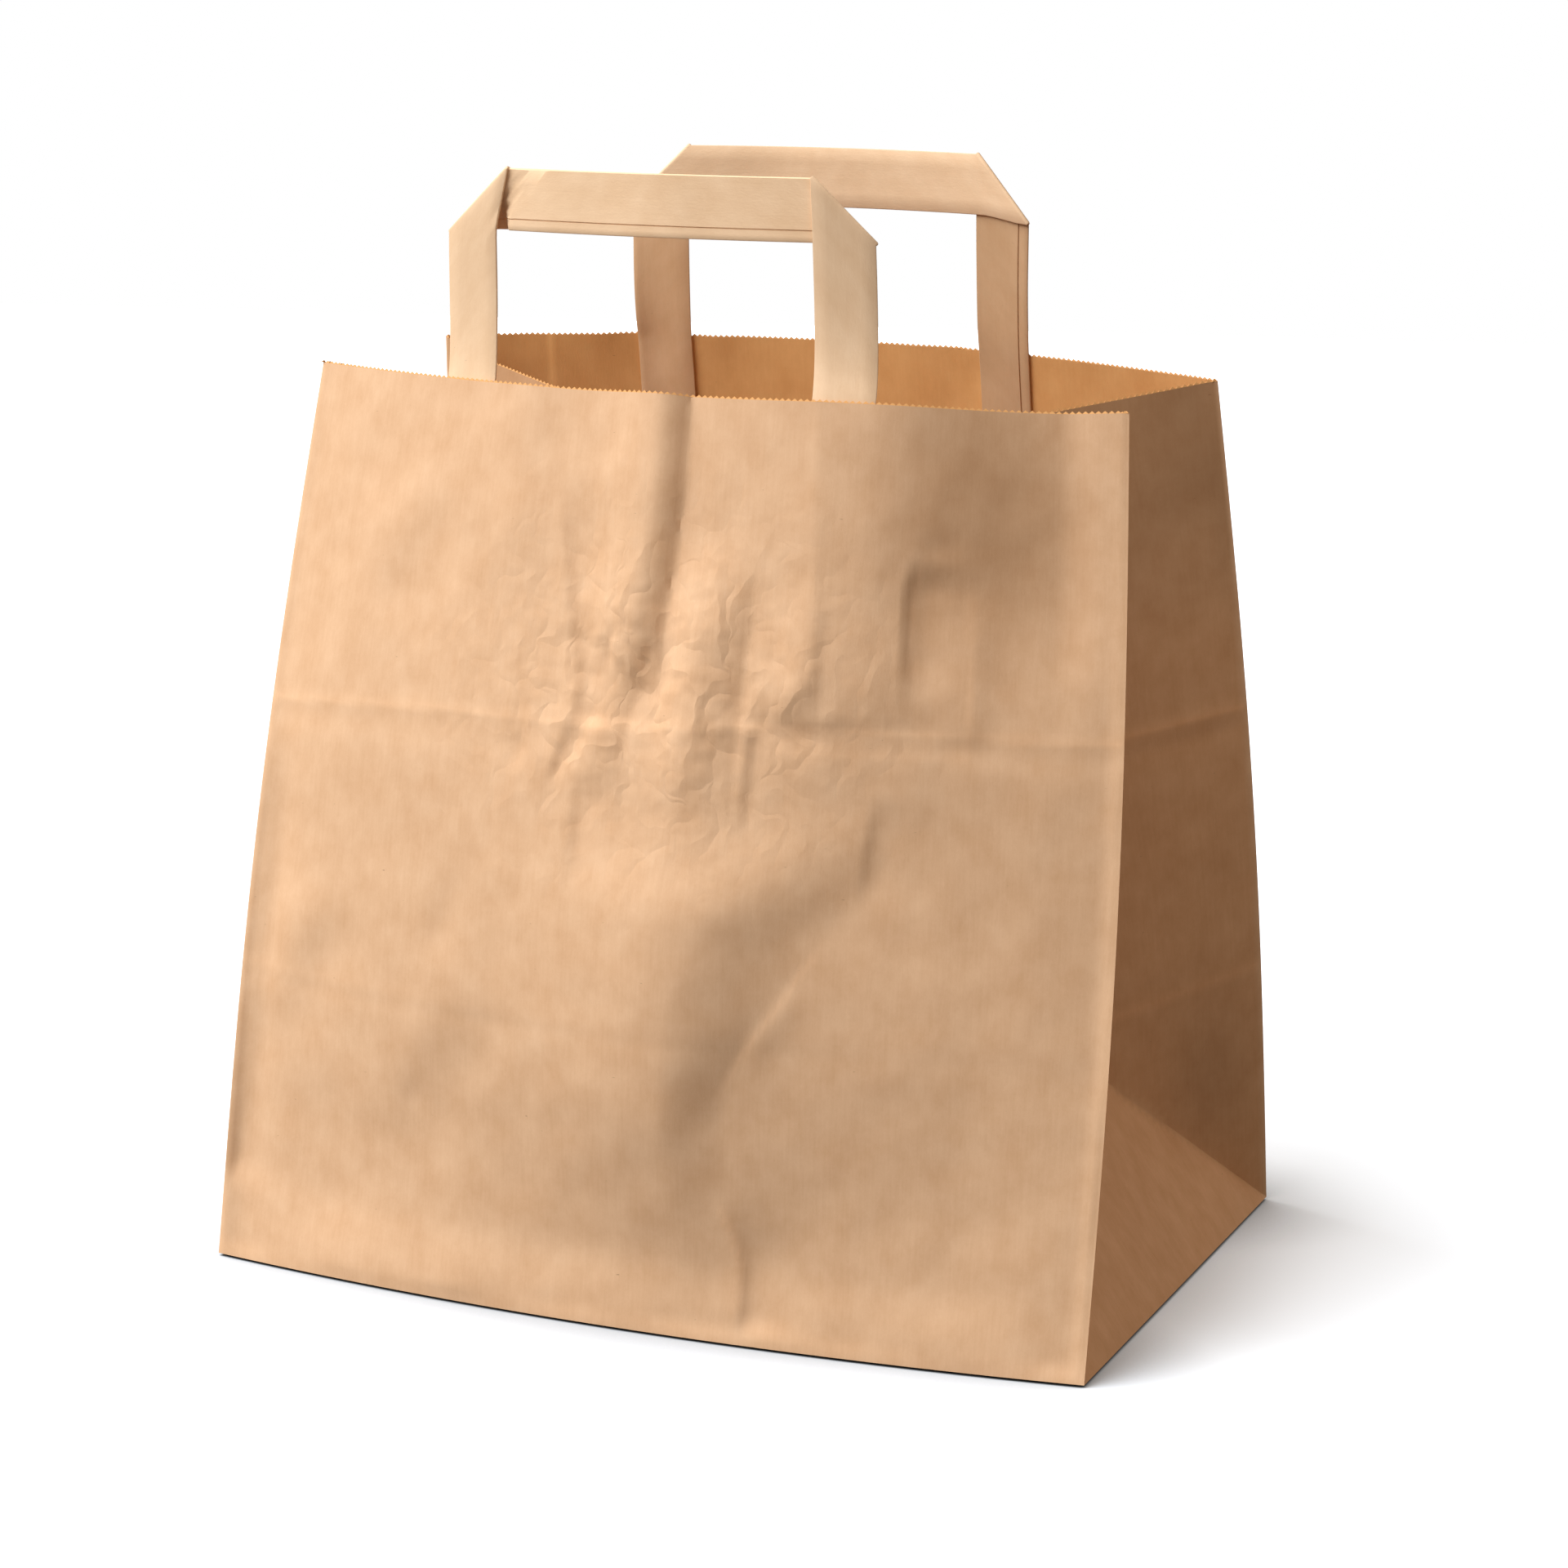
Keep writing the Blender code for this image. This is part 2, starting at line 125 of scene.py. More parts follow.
def on_gusset(end, face, inward, up):
    """Points of one half of a gusset, `inward` from its corner fold towards its middle fold."""
    bottom = corner_fold(end, face)[0]
    bottom_middle = (bottom + corner_fold(end, -face)[0]) / 2
    apex, top = gusset_folds(end)
    fold = on_corner_fold(end, face, up)
    across = (inward / HALF_DEPTH)[..., None]
    height = ((up - HALF_DEPTH) / (side_height(end) - HALF_DEPTH))[..., None]
    above = fold + (apex + (top - apex) * height - fold) * across
    beside = fold + (apex - on_corner_fold(end, face, np.array(HALF_DEPTH))) * across
    below = bottom + (bottom_middle - bottom) * across + (apex - bottom_middle) * (up / HALF_DEPTH)[..., None]
    low = np.where((up >= inward)[..., None], beside, below)
    return np.where((up >= HALF_DEPTH)[..., None], above, low)


def smooth(value):
    value = np.clip(value, 0, 1)
    return value * value * (3 - 2 * value)


def along_line(u, v, points):
    """Distance to a line given from its lower end, positive on its right, and the place along it."""
    best, side, along = np.full(u.shape, 1e9), np.zeros(u.shape), np.zeros(u.shape)
    done = 0.0
    for (u0, v0), (u1, v1) in zip(points[:-1], points[1:]):
        length = math.hypot(u1 - u0, v1 - v0)
        du, dv = (u1 - u0) / length, (v1 - v0) / length
        step = np.clip((u - u0) * du + (v - v0) * dv, 0, length)
        away = np.hypot(u - u0 - du * step, v - v0 - dv * step)
        nearer = away < best
        best = np.where(nearer, away, best)
        side = np.where(nearer, (u - u0) * dv - (v - v0) * du, side)
        along = np.where(nearer, done + step, along)
        done += length
    return np.where(side < 0, -best, best), along, done


def faded(along, length, start, stop):
    """Full strength along a line, and nothing at an end that has a fading length."""
    fade = smooth(along / start) if start else 1.0
    return fade * (smooth((length - along) / stop) if stop else 1.0)


def ridge(u, v, points, height, left, right, start=8.0, stop=8.0, sharp=False):
    """A ridge along a line, or a valley where height is negative, with a width for each side."""
    away, along, length = along_line(u, v, points)
    share = np.abs(away) / np.where(away < 0, left, right)
    form = np.exp(-share) if sharp else np.exp(-share ** 2)
    return height * form * faded(along, length, start, stop)


def draped_fold(u, v, points, height, left, right, start=8.0, stop=8.0):
    """A rounded fold that rises softly from its left and drops on its right to a crisp foot."""
    away, along, length = along_line(u, v, points)
    form = np.where(away < 0, np.exp(-(away / left) ** 2), np.clip(1 - (away / right) ** 2, 0, 1))
    return height * form * faded(along, length, start, stop)


def pressed_edge(u, v, points, depth, width, start=8.0, stop=8.0):
    """Flat up to a line, then a hollow along its right side that is deepest at `width` from it."""
    away, along, length = along_line(u, v, points)
    share = np.maximum(away, 0) / width
    return -depth * share * np.exp(1 - share) * faded(along, length, start, stop)


def slope_between(u, v, crest, foot, height, left, low, high):
    """A soft crest that falls to a foot line on its right, crisp at mid height; it fades in over each v range."""
    past, _, _ = along_line(u, v, crest)
    short, _, _ = along_line(u, v, foot)
    share = np.clip(past / np.maximum(past - short, 0.01), 0, 1)
    crisp = np.exp(-((v - 84) / 17) ** 2)
    fall = crisp * (1 - share ** 1.5) + (1 - crisp) * (1 - smooth(share))
    form = np.where(past < 0, np.exp(-(past / left) ** 2), np.where(short < 0, fall, 0))
    return height * form * smooth((v - low[0]) / (low[1] - low[0])) * smooth((high[1] - v) / (high[1] - high[0]))


def step_down(u, v, points, height, width, start=15.0, stop=15.0):
    """A slope along a line that falls to the line's right: a crest on its left and a hollow on its right."""
    away, along, length = along_line(u, v, points)
    share = away / width
    return -height * share * np.exp(0.5 - share ** 2 / 2) * faded(along, length, start, stop)


def unevenness(u, v, size, seed):
    """Soft random form between -1 and 1 with bumps about `size` across."""
    flat = [noise.noise(Vector((a / size, b / size, seed))) for a, b in zip(u.ravel(), v.ravel())]
    return np.array(flat).reshape(u.shape)


def front_upper_crease(u):
    """Height of the front panel's upper crease of the flat pack."""
    return np.interp(u, [0, 20, 70, 110, 180, 260], [157, 159, 162.5, 162.5, 166.5, 164.5])


def front_form(u, v):
    """How far the handled front panel stands off its smooth form."""
    form = 0.75 * unevenness(u, v, 70, 1.5) + 0.38 * unevenness(u, v, 28, 4.5) + 0.16 * unevenness(u, v, 11, 8.5)
    form += 0.035 * unevenness(u, v, 5, 12.5)
    folds = (
        # folds that hang from the top edge between the handle's legs
        (draped_fold, [(124, 172), (127, 183), (127.5, 196), (129, 208), (130, 226), (129.5, 262)],
         4.3, 15, 9.0, 22, 0),
        (pressed_edge, [(110, 161), (111, 172), (108, 183), (106, 193), (103, 206), (98, 228)], 1.5, 7.0, 6, 26),
        (ridge, [(88, 190), (84, 225), (82, 262)], 0.7, 11, 9, 25, 0),
        # creases of the small kink where the folds meet, and below it
        (ridge, [(120.4, 177), (120.6, 184.5), (123, 188.5)], -0.45, 1.6, 1.2, 3, 3),
        (ridge, [(131, 176), (133, 182), (131.5, 187)], -0.5, 1.2, 2.0, 3, 3),
        (draped_fold, [(120.5, 140), (120.4, 160), (121, 170), (125, 177), (130, 183)], 1.6, 9, 7, 24, 6),
        (ridge, [(109, 150), (114, 160), (119, 168)], -0.45, 3, 3, 5, 5),
        # folds over the glued patch
        (draped_fold, [(145, 124), (146, 154), (146.5, 166), (147, 180), (148, 196), (149, 218)],
         3.6, 8, 14, 46, 30),
        (draped_fold, [(161, 136), (161.8, 150), (163, 163), (164, 168)], 0.9, 5, 2.6, 14, 4),
        (pressed_edge, [(204.5, 172), (203.5, 185), (203, 200), (205, 212)], 1.7, 4.6, 14, 9),
        (ridge, [(206, 212), (213, 214.5), (220, 213)], -0.3, 4.0, 3.0, 4, 6),
        (ridge, [(221, 162), (221, 208)], 0.7, 8, 5, 6, 26),
        (ridge, [(180, 162), (192, 175), (207, 184), (218, 184)], 0.5, 7, 9, 12, 14),
        (ridge, [(168, 166), (176, 176), (188, 186)], 0.8, 6, 5, 8, 12),
        (draped_fold, [(176, 166), (177, 186), (178, 205)], 0.9, 7, 6, 10, 16),
        (ridge, [(134, 168), (137.5, 176), (139, 186)], -0.5, 2.4, 2.4, 5, 8),
        # small creases below and beside it
        (ridge, [(92.5, 147), (95, 158)], -0.5, 3, 2.4, 6, 3),
        (pressed_edge, [(104, 146), (107, 156), (110.5, 164)], 0.7, 2.4, 6, 4),
        (pressed_edge, [(112.5, 118), (113, 136), (112, 152)], 0.8, 5, 14, 12),
        (pressed_edge, [(194, 118), (196, 135), (198, 150)], 0.8, 4, 14, 10),
        (ridge, [(69, 92), (74, 108), (77, 122)], -0.5, 4, 5, 10, 12),
        # the edge of the handle's right leg
        (ridge, [(181, 165), (179, 207), (177, 262)], 1.0, 11, 16, 4, 0, True),
        # the crisp foot of the slanting valley, and its sharp end at the bottom
        (ridge, [(165, 76), (171, 86), (176.5, 93), (181, 100)], 0.5, 1.6, 4.0, 8, 9),
        (pressed_edge, [(166.4, 2), (166, 21), (162.7, 31), (158, 41)], 1.3, 5, 6, 22),
        # soft slopes on the left
        (step_down, [(14, 60), (22, 84), (34, 108)], 0.7, 8),
        (step_down, [(54, 36), (62, 52), (76, 72), (92, 92)], 0.5, 9),
        (step_down, [(30, 190), (48, 205), (60, 225)], 0.5, 10),
        # the crease of the flat pack beside the left fold
        (ridge, [(2.6, 18), (5, 43), (7.6, 62), (7.6, 98), (9.7, 124), (10, 150)], -1.6, 7, 16, 10, 30, True),
    )
    for shape, line, *sizes in folds:
        form += shape(u, v, line, *sizes)
    # the bump of the kink, and a small hollow low on the left
    form += 0.45 * np.exp(-(((u - 126.4) / 5.0) ** 2 + ((v - 184) / 4.2) ** 2) ** 2)
    form -= 0.5 * np.exp(-((u - 65) / 3.0) ** 2 - ((v - 55) / 4.5) ** 2)
    # the panel is fuller at the handle's right leg and falls back beyond it
    form += 4.6 * np.exp(-((u - 186) / 38) ** 2) * smooth((v - 105) / 90)
    form -= 4.2 * smooth((u - 192) / 46) * (1 - smooth((u - 242) / 16)) * smooth((v - 150) / 60)
    # the broad slanting valley
    form += slope_between(u, v, [(150, 8), (147, 30), (143, 50), (143, 66), (144, 80), (146, 95), (152, 112),
                                 (164, 128), (180, 141)],
                          [(176, 8), (172, 30), (164, 48), (160, 60), *VALLEY_FOOT, (198, 124.4), (204.8, 130.8),
                           (214, 143)],
                          4.4, 34, (4, 66), (112, 146))
    form += 2.4 * np.exp(-((u - 138) / 55) ** 2) * smooth((v - 5) / 60) * (1 - smooth((v - 130) / 70))
    # the panel is a little hollow near the bottom and turns out again at its bottom edge
    form -= 2.8 * np.exp(-((v - 36) / 34) ** 2) * smooth(v / 22) * smooth(np.minimum(u, BAG_WIDTH - u) / 40)
    # two creases of the flat pack across the panel
    above_lower, above_upper = v - FRONT_LOWER_CREASE, v - front_upper_crease(u)
    form += 0.16 * np.exp(-np.abs(above_lower) / 1.6) - 0.22 * np.exp(-np.abs(above_lower + 2.4) / 2.0)
    form += 0.17 * np.exp(-np.abs(above_upper) / 1.5) - 0.12 * np.exp(-((above_upper + 5) / 3.4) ** 2)
    # beside its side folds the panel dips, and the folds themselves stand proud
    form -= 0.75 * smooth((BAG_WIDTH - u) / 5) * np.exp(-((BAG_WIDTH - u) / 14) ** 2)
    form -= 0.35 * smooth(u / 5) * np.exp(-(u / 14) ** 2)
    return form * smooth(np.minimum(u, BAG_WIDTH - u) / 2.5) * smooth(v / 5)


def back_form(u, v):
    """The back panel has only the soft form and the creases of the flat pack; u runs from its left fold."""
    form = 0.9 * unevenness(u, v, 75, 21.5) + 0.4 * unevenness(u, v, 30, 25.5) + 0.12 * unevenness(u, v, 11, 28.5)
    form += draped_fold(u, v, [(78, 150), (74, 190), (66, 225), (60, 262)], 2.2, 13, 10, 30, 0)
    form += draped_fold(u, v, [(150, 165), (168, 222), (172, 262)], 1.9, 11, 14, 30, 0)
    form += pressed_edge(u, v, [(118, 158), (121, 180), (117, 205), (110, 232)], 1.3, 6, 4, 24)
    form += draped_fold(u, v, [(176, 14), (168, 60), (180, 110), (205, 150)], 2.0, 18, 12, 18, 24)
    form += step_down(u, v, [(60, 30), (84, 70), (96, 120)], 1.2, 13)
    form += 0.16 * np.exp(-np.abs(v - LOWER_CREASE) / 1.8) + 0.3 * np.exp(-np.abs(v - BACK_UPPER_CREASE) / 1.8)
    form -= 0.35 * np.exp(-((v - BACK_UPPER_CREASE + 5) / 3.2) ** 2)
    # the lap seam: the sheet's end lies on its start, with one crisp edge and one that only shows through
    form += 0.2 * np.clip((SEAM_FROM_FOLD + 0.2 - u) / 0.4, 0, 1) * smooth((u - 9) / 4)
    # small curls of the cut edge
    for place, size in ((25, 0.5), (48, -0.6), (86, -0.9), (173, -1.3)):
        form += size * np.exp(-((u - place) / 4.0) ** 2 - ((v - 250) / 5.0) ** 2)
    return form * smooth(np.minimum(u, BAG_WIDTH - u) / 2.5) * smooth(v / 5)


def gusset_form(inward, v, seed):
    """Soft form of half a gusset, still at its folds."""
    form = 0.8 * unevenness(inward, v, 55, seed) + 0.3 * unevenness(inward, v, 20, seed + 3)
    form += 0.35 * np.exp(-np.abs(v - GUSSET_UPPER_CREASE) / 1.8)
    form -= 0.35 * np.exp(-np.abs(v - GUSSET_UPPER_CREASE + 5.5) / 2.6)
    form += 0.30 * np.exp(-np.abs(v - LOWER_CREASE) / 1.6)
    edge = np.minimum(np.minimum(inward, HALF_DEPTH - inward), np.abs(v - inward) + 40 * (v > HALF_DEPTH))
    return form * smooth(edge / 6) * smooth(v / 5)


def push_out(points, form, outward):
    """Move a grid of points along its own normals, to the side that `outward` gives."""
    across = np.gradient(points, axis=1)
    upward = np.gradient(points, axis=0)
    normal = np.cross(across, upward)
    normal /= np.linalg.norm(normal, axis=-1, keepdims=True)
    if (normal * outward).sum(-1).mean() < 0:
        normal = -normal
    return points + normal * form[..., None]


# rows of the sheet: below the gusset's apex they match its columns, so that its slanting fold is sharp
steps = np.linspace(0, 1, GUSSET_COLUMNS + 1)
low_levels = HALF_DEPTH * (0.55 * steps + 0.45 * steps ** 1.6)
row_level = np.concatenate([low_levels, np.full(UPPER_ROWS, HALF_DEPTH)])
fine_rows = np.interp(np.arange(1, UPPER_ROWS + 1) / UPPER_ROWS, [0, 0.26, 0.86, 1], [0, 0.38, 0.82, 1])
row_share = np.concatenate([np.zeros(GUSSET_COLUMNS + 1), fine_rows])


def panel_columns(face, count):
    """Places across a panel, closer together beside its folds, in front where most wrinkles are, and at the seam."""
    edge = np.array([0, 0.7, 1.5, 2.5, 3.7])
    extra = np.array([]) if face < 0 else SEAM_FROM_FOLD + np.array([-0.2, 0.2])
    share = np.linspace(0, 1, count - 9 - len(extra))
    if face < 0:
        share = np.interp(share, [0, 0.2, 0.84, 1], [0, 0.36, 0.84, 1])
    return np.sort(np.concatenate([edge, 5.2 + (BAG_WIDTH - 10.4) * share, BAG_WIDTH - edge[::-1], extra]))


def panel_grid(face, count):
    columns = panel_columns(face, count)
    across = np.broadcast_to(columns / BAG_WIDTH, (len(row_level), len(columns)))
    height = side_height(-1) + (side_height(1) - side_height(-1)) * across
    up = row_level[:, None] + row_share[:, None] * (height - row_level[:, None])
    return on_panel(face, across, up / height), across * BAG_WIDTH, up / height * BAG_HEIGHT


def gusset_grid(end, face):
    up = row_level + row_share * (side_height(end) - row_level)
    up = np.broadcast_to(up[:, None], (len(row_level), GUSSET_COLUMNS + 1))
    inward = np.broadcast_to(low_levels, up.shape)
    return on_gusset(end, face, inward, up), inward, up


front, front_u, front_v = panel_grid(-1, PANEL_COLUMNS)
front = push_out(front, front_form(front_u, front_v), np.array([0, -1, 0]))
back, back_u, back_v = panel_grid(1, BACK_COLUMNS)
back = push_out(back, back_form(back_u, back_v), np.array([0, 1, 0]))
halves = {}
for end in (1, -1):
    for face in (-1, 1):
        grid, inward, up = gusset_grid(end, face)
        out = np.array([end, 0.6 * -face, 0])
        halves[end, face] = push_out(grid, gusset_form(inward, up, 40 + 7 * end + 3 * face), out), inward, up

# the tube as one grid, with the place of each point on the flat sheet for the paper's grain
strips = [(front[:, :-1], front_u[:, :-1], front_v[:, :-1])]
for end, first, offset in ((1, -1, FRONT_RIGHT), (-1, 1, BACK_LEFT)):
    near_grid, near_in, near_up = halves[end, first]
    far_grid, far_in, far_up = halves[end, -first]
    strips.append((near_grid[:, :-1], offset + near_in[:, :-1], near_up[:, :-1]))
    strips.append((far_grid[:, :0:-1], offset + BAG_DEPTH - far_in[:, :0:-1], far_up[:, :0:-1]))
    if end > 0:
        flat = BACK_LEFT - back_u
        strips.append((back[:, :0:-1], flat[:, :0:-1], back_v[:, :0:-1]))
tube = np.concatenate([strip[0] for strip in strips], axis=1)
tube_u = np.concatenate([strip[1] for strip in strips], axis=1)
tube_v = np.concatenate([strip[2] for strip in strips], axis=1)
# the cut edge runs a little lower towards the front right corner and on the left gusset
trim = np.interp(tube_u, [0, 110, 190, FRONT_RIGHT, RIGHT_MIDDLE, BACK_LEFT, BACK_LEFT + 22, LEFT_MIDDLE, FULL_TURN],
                 [0, 0.3, 0.8, 1.5, 0, 0, 2.2, 2.2, 0])
tube[..., 2] -= trim * (tube_v / BAG_HEIGHT) ** 4

from_fold = np.min([np.abs(tube_u - fold) for fold in (0, *CORNER_FOLDS, FULL_TURN)], axis=0)
on_front = tube_u < FRONT_RIGHT
on_gusset_paper = (tube_u > FRONT_RIGHT) & (tube_u < BACK_RIGHT) | (tube_u > BACK_LEFT)


def spot(u, v, middle_u, size_u, middle_v, size_v):
    """A soft round spot, 1 in its middle."""
    return np.exp(-((u - middle_u) / size_u) ** 2 - ((v - middle_v) / size_v) ** 2)


def paper_tone_and_shade(u, v):
    """How much lighter or darker the sheet is, by its place on the flat sheet: lighter lines along folds and creases,
    and painted light and shade.
    """
    from_middle = np.minimum(np.abs(u - RIGHT_MIDDLE), np.abs(u - LEFT_MIDDLE))
    tone = 0.10 * np.exp(-(from_fold / 1.3) ** 2)
    # painted shade high on the back panel's right part, seen inside the bag
    tone -= 0.14 * np.exp(-((u - 468) / 42) ** 2) * smooth((v - 185) / 45)
    # gussets: painted shade near the top and along the middle fold, painted light on the right gusset's bottom
    # triangle, light creases of the flat pack
    gusset = -0.26 * smooth((v - 165) / 60) - 0.24 * np.exp(-(from_middle / 15) ** 2) * smooth((v - 60) / 30)
    gusset += np.where(u < BACK_RIGHT, 0.16, 0.0) * smooth((from_fold - v) / 3)
    # painted shadow in the hollow above the slanting fold near the back bottom corner
    gusset -= 0.18 * spot(from_fold, v, 20, 16, 46, 24) * smooth((v - from_fold) / 3) * (
        (u > RIGHT_MIDDLE) & (u < LEFT_MIDDLE))
    gusset += 0.16 * np.exp(-((v - GUSSET_UPPER_CREASE) / 1.2) ** 2) + 0.13 * np.exp(-((v - LOWER_CREASE) / 1.3) ** 2)
    # front: lighter along folds, creases and the bottom edge
    front_lines_and_shade = 0.09 * np.exp(-((v - front_upper_crease(np.minimum(u, BAG_WIDTH))) / 1.1) ** 2)
    front_lines_and_shade += 0.05 * np.exp(-(v - FRONT_LOWER_CREASE) ** 2) + 0.09 * np.exp(-((v - 2) / 3) ** 2)
    for line in ([(158, 63.7), *VALLEY_FOOT], [(166.4, 5), (166, 21), (162.7, 31), (158, 41)],
                 [(120.4, 177), (120.6, 184.5), (123, 188.5), (127, 188.8), (131, 187)],
                 [(92.5, 147), (95, 158)], [(207, 178), (205.5, 192), (206, 203), (208.5, 214)],
                 [(184, 159), (192, 166), (197, 176)], [(221, 164), (220, 208)]):
        away, along, length = along_line(u, v, line)
        front_lines_and_shade += 0.10 * np.exp(-(away / 0.9) ** 2) * faded(along, length, 8, 8)
    # painted shade along the strip beside the left fold
    front_lines_and_shade -= 0.10 * np.exp(-((u - 4.5) / 4) ** 2) * smooth((165 - v) / 40)
    # the pressed strip over the patch's lower edge is lighter; painted shade darkens the upper right corner, the
    # right half, a place on the left, the slanting valley and its lower end, and the lower part
    front_lines_and_shade += 0.07 * smooth((u - 163) / 3) * smooth((223 - u) / 1.5) * smooth((v - 158) / 1.5) * smooth((167 - v) / 1.5)
    front_lines_and_shade -= 0.24 * spot(u, v, 228, 26, 224, 36) + 0.04 * smooth((u - 125) / 50) + 0.05 * spot(u, v, 48, 38, 125, 55)
    front_lines_and_shade -= 0.07 * spot(u, v, 160, 18, 90, 40) + 0.06 * spot(u, v, 172, 9, 24, 22) * (u > 166)
    front_lines_and_shade -= 0.04 * smooth((110 - v) / 60) * smooth((v - 8) / 14)
    return tone + np.where(on_gusset_paper, gusset, 0) + np.where(on_front, front_lines_and_shade, 0)


# painted shade colour: the gussets are tinted redder than the panels, most of all near the top, and so is the front's
# upper right corner
shade_warmth = np.where(on_gusset_paper, smooth(from_fold / 2.5) * (1 + 0.5 * smooth((tube_v - 165) / 60)), 0)
shade_warmth += np.where(on_front, 0.6 * spot(tube_u, tube_v, 226, 24, 222, 34), 0)
# handling left fine sharp crumples in the middle of the front panel
crumple = np.where(on_front, spot(tube_u, tube_v, 136, 54, 174, 42), 0)
bm = bmesh.new()
sheet_values = [(bm.verts.layers.float.new(name), values) for name, values in
                (("paper tone", paper_tone_and_shade(tube_u, tube_v)), ("paper shade_warmth", shade_warmth), ("paper crumple", crumple))]
grid_verts = [[bm.verts.new(point / 1000) for point in row] for row in tube]
for row, verts in enumerate(grid_verts):
    for column, vert in enumerate(verts):
        for layer, values in sheet_values:
            vert[layer] = values[row, column]
uv_layer = bm.loops.layers.uv.new("flat sheet")
columns = tube.shape[1]
gusset_starts = (PANEL_COLUMNS, PANEL_COLUMNS + 2 * GUSSET_COLUMNS + BACK_COLUMNS)


def add_face(corners):
    """A face between places (row, column) of the tube, with the sheet's own coordinates."""
    face = bm.faces.new([grid_verts[row][column % columns] for row, column in corners])
    for loop, (row, column) in zip(face.loops, corners):
        u = FULL_TURN if column == columns else tube_u[row, column]
        loop[uv_layer].uv = (u / 1000, tube_v[row, column % columns] / 1000)


for row in range(len(tube) - 1):
    for column in range(columns):
        a, b, c, d = (row, column), (row, column + 1), (row + 1, column + 1), (row + 1, column)
        rising = any(column - start == row for start in gusset_starts)
        falling = any(column - start == 2 * GUSSET_COLUMNS - 1 - row for start in gusset_starts)
        if row < GUSSET_COLUMNS and rising:
            add_face((a, b, c))
            add_face((a, c, d))
        elif row < GUSSET_COLUMNS and falling:
            add_face((a, b, d))
            add_face((b, c, d))
        else:
            add_face((a, b, c, d))
floor_face = bm.faces.new(list(reversed(grid_verts[0])))
for loop in floor_face.loops:
    loop[uv_layer].uv = (loop.vert.co.x + 0.5, loop.vert.co.y + 0.5)


def paper_object(name, bm, angle, *papers):
    """An object of its own from a bmesh, smooth but for the edges that are sharper than an angle in degrees."""
    mesh = bpy.data.meshes.new(name)
    bm.to_mesh(mesh)
    bm.free()
    mesh.shade_smooth()
    mesh.set_sharp_from_angle(angle=math.radians(angle))
    for paper in papers:
        mesh.materials.append(paper)
    item = bpy.data.objects.new(name, mesh)
    bpy.context.scene.collection.objects.link(item)
    return item


def node_maker(tree):
    """A function that adds a node to a tree; a node among its inputs stands for that node's first output."""
    def make(kind, inputs=None, **settings):
        node = tree.nodes.new(kind)
        for name, value in settings.items():
            setattr(node, name, value)
        for socket, value in (inputs or {}).items():
            if isinstance(value, bpy.types.Node):
                value = value.outputs[0]
            if isinstance(value, bpy.types.NodeSocket):
                tree.links.new(value, node.inputs[socket])
            else:
                node.inputs[socket].default_value = value
        return node

    return make


def paper_fibre_group():
    """Kraft paper's look on flat coordinates in millimetres: tone, flecks and a height for bumps."""
    group = bpy.data.node_groups.new("paper fibre", "ShaderNodeTree")
    group.interface.new_socket("Place", in_out="INPUT", socket_type="NodeSocketVector")
    for name in ("Tone", "Fleck", "Height"):
        group.interface.new_socket(name, in_out="OUTPUT", socket_type="NodeSocketFloat")
    make = node_maker(group)
    place = make("NodeGroupInput").outputs["Place"]

    def stretched_noise(size, detail, roughness=0.5):
        scaled = make("ShaderNodeVectorMath", {0: place, 1: (1 / size[0], 1 / size[1], 1 / size[0])},
                      operation="MULTIPLY")
        return make("ShaderNodeTexNoise", {"Vector": scaled, "Scale": 1, "Detail": detail,
                                           "Roughness": roughness})

    def math_node(operation, *values):
        return make("ShaderNodeMath", dict(enumerate(values)), operation=operation)

    streaks = stretched_noise((0.9, 14.0), 3, 0.6)
    clouds = stretched_noise((9.0, 12.0), 4, 0.6)
    grains = stretched_noise((0.42, 0.8), 2)
    streak_part = math_node("MULTIPLY", math_node("SUBTRACT", streaks, 0.5), 0.6)
    cloud_part = math_node("MULTIPLY", math_node("SUBTRACT", clouds, 0.5), 1.9)
    tone = math_node("ADD", math_node("ADD", streak_part, cloud_part), 0.5)
    hairs = stretched_noise((2.6, 0.55), 1)
    fine = stretched_noise((0.5, 1.3), 3)
    make("NodeGroupOutput", {
        "Tone": math_node("MULTIPLY_ADD", math_node("SUBTRACT", grains, 0.5), 0.35, tone),
        "Fleck": make("ShaderNodeMapRange", {"Value": hairs, "From Min": 0.80, "From Max": 0.86}),
        "Height": math_node("MULTIPLY_ADD", streaks, 0.6, fine)})
    return group


paper_fibre = paper_fibre_group()


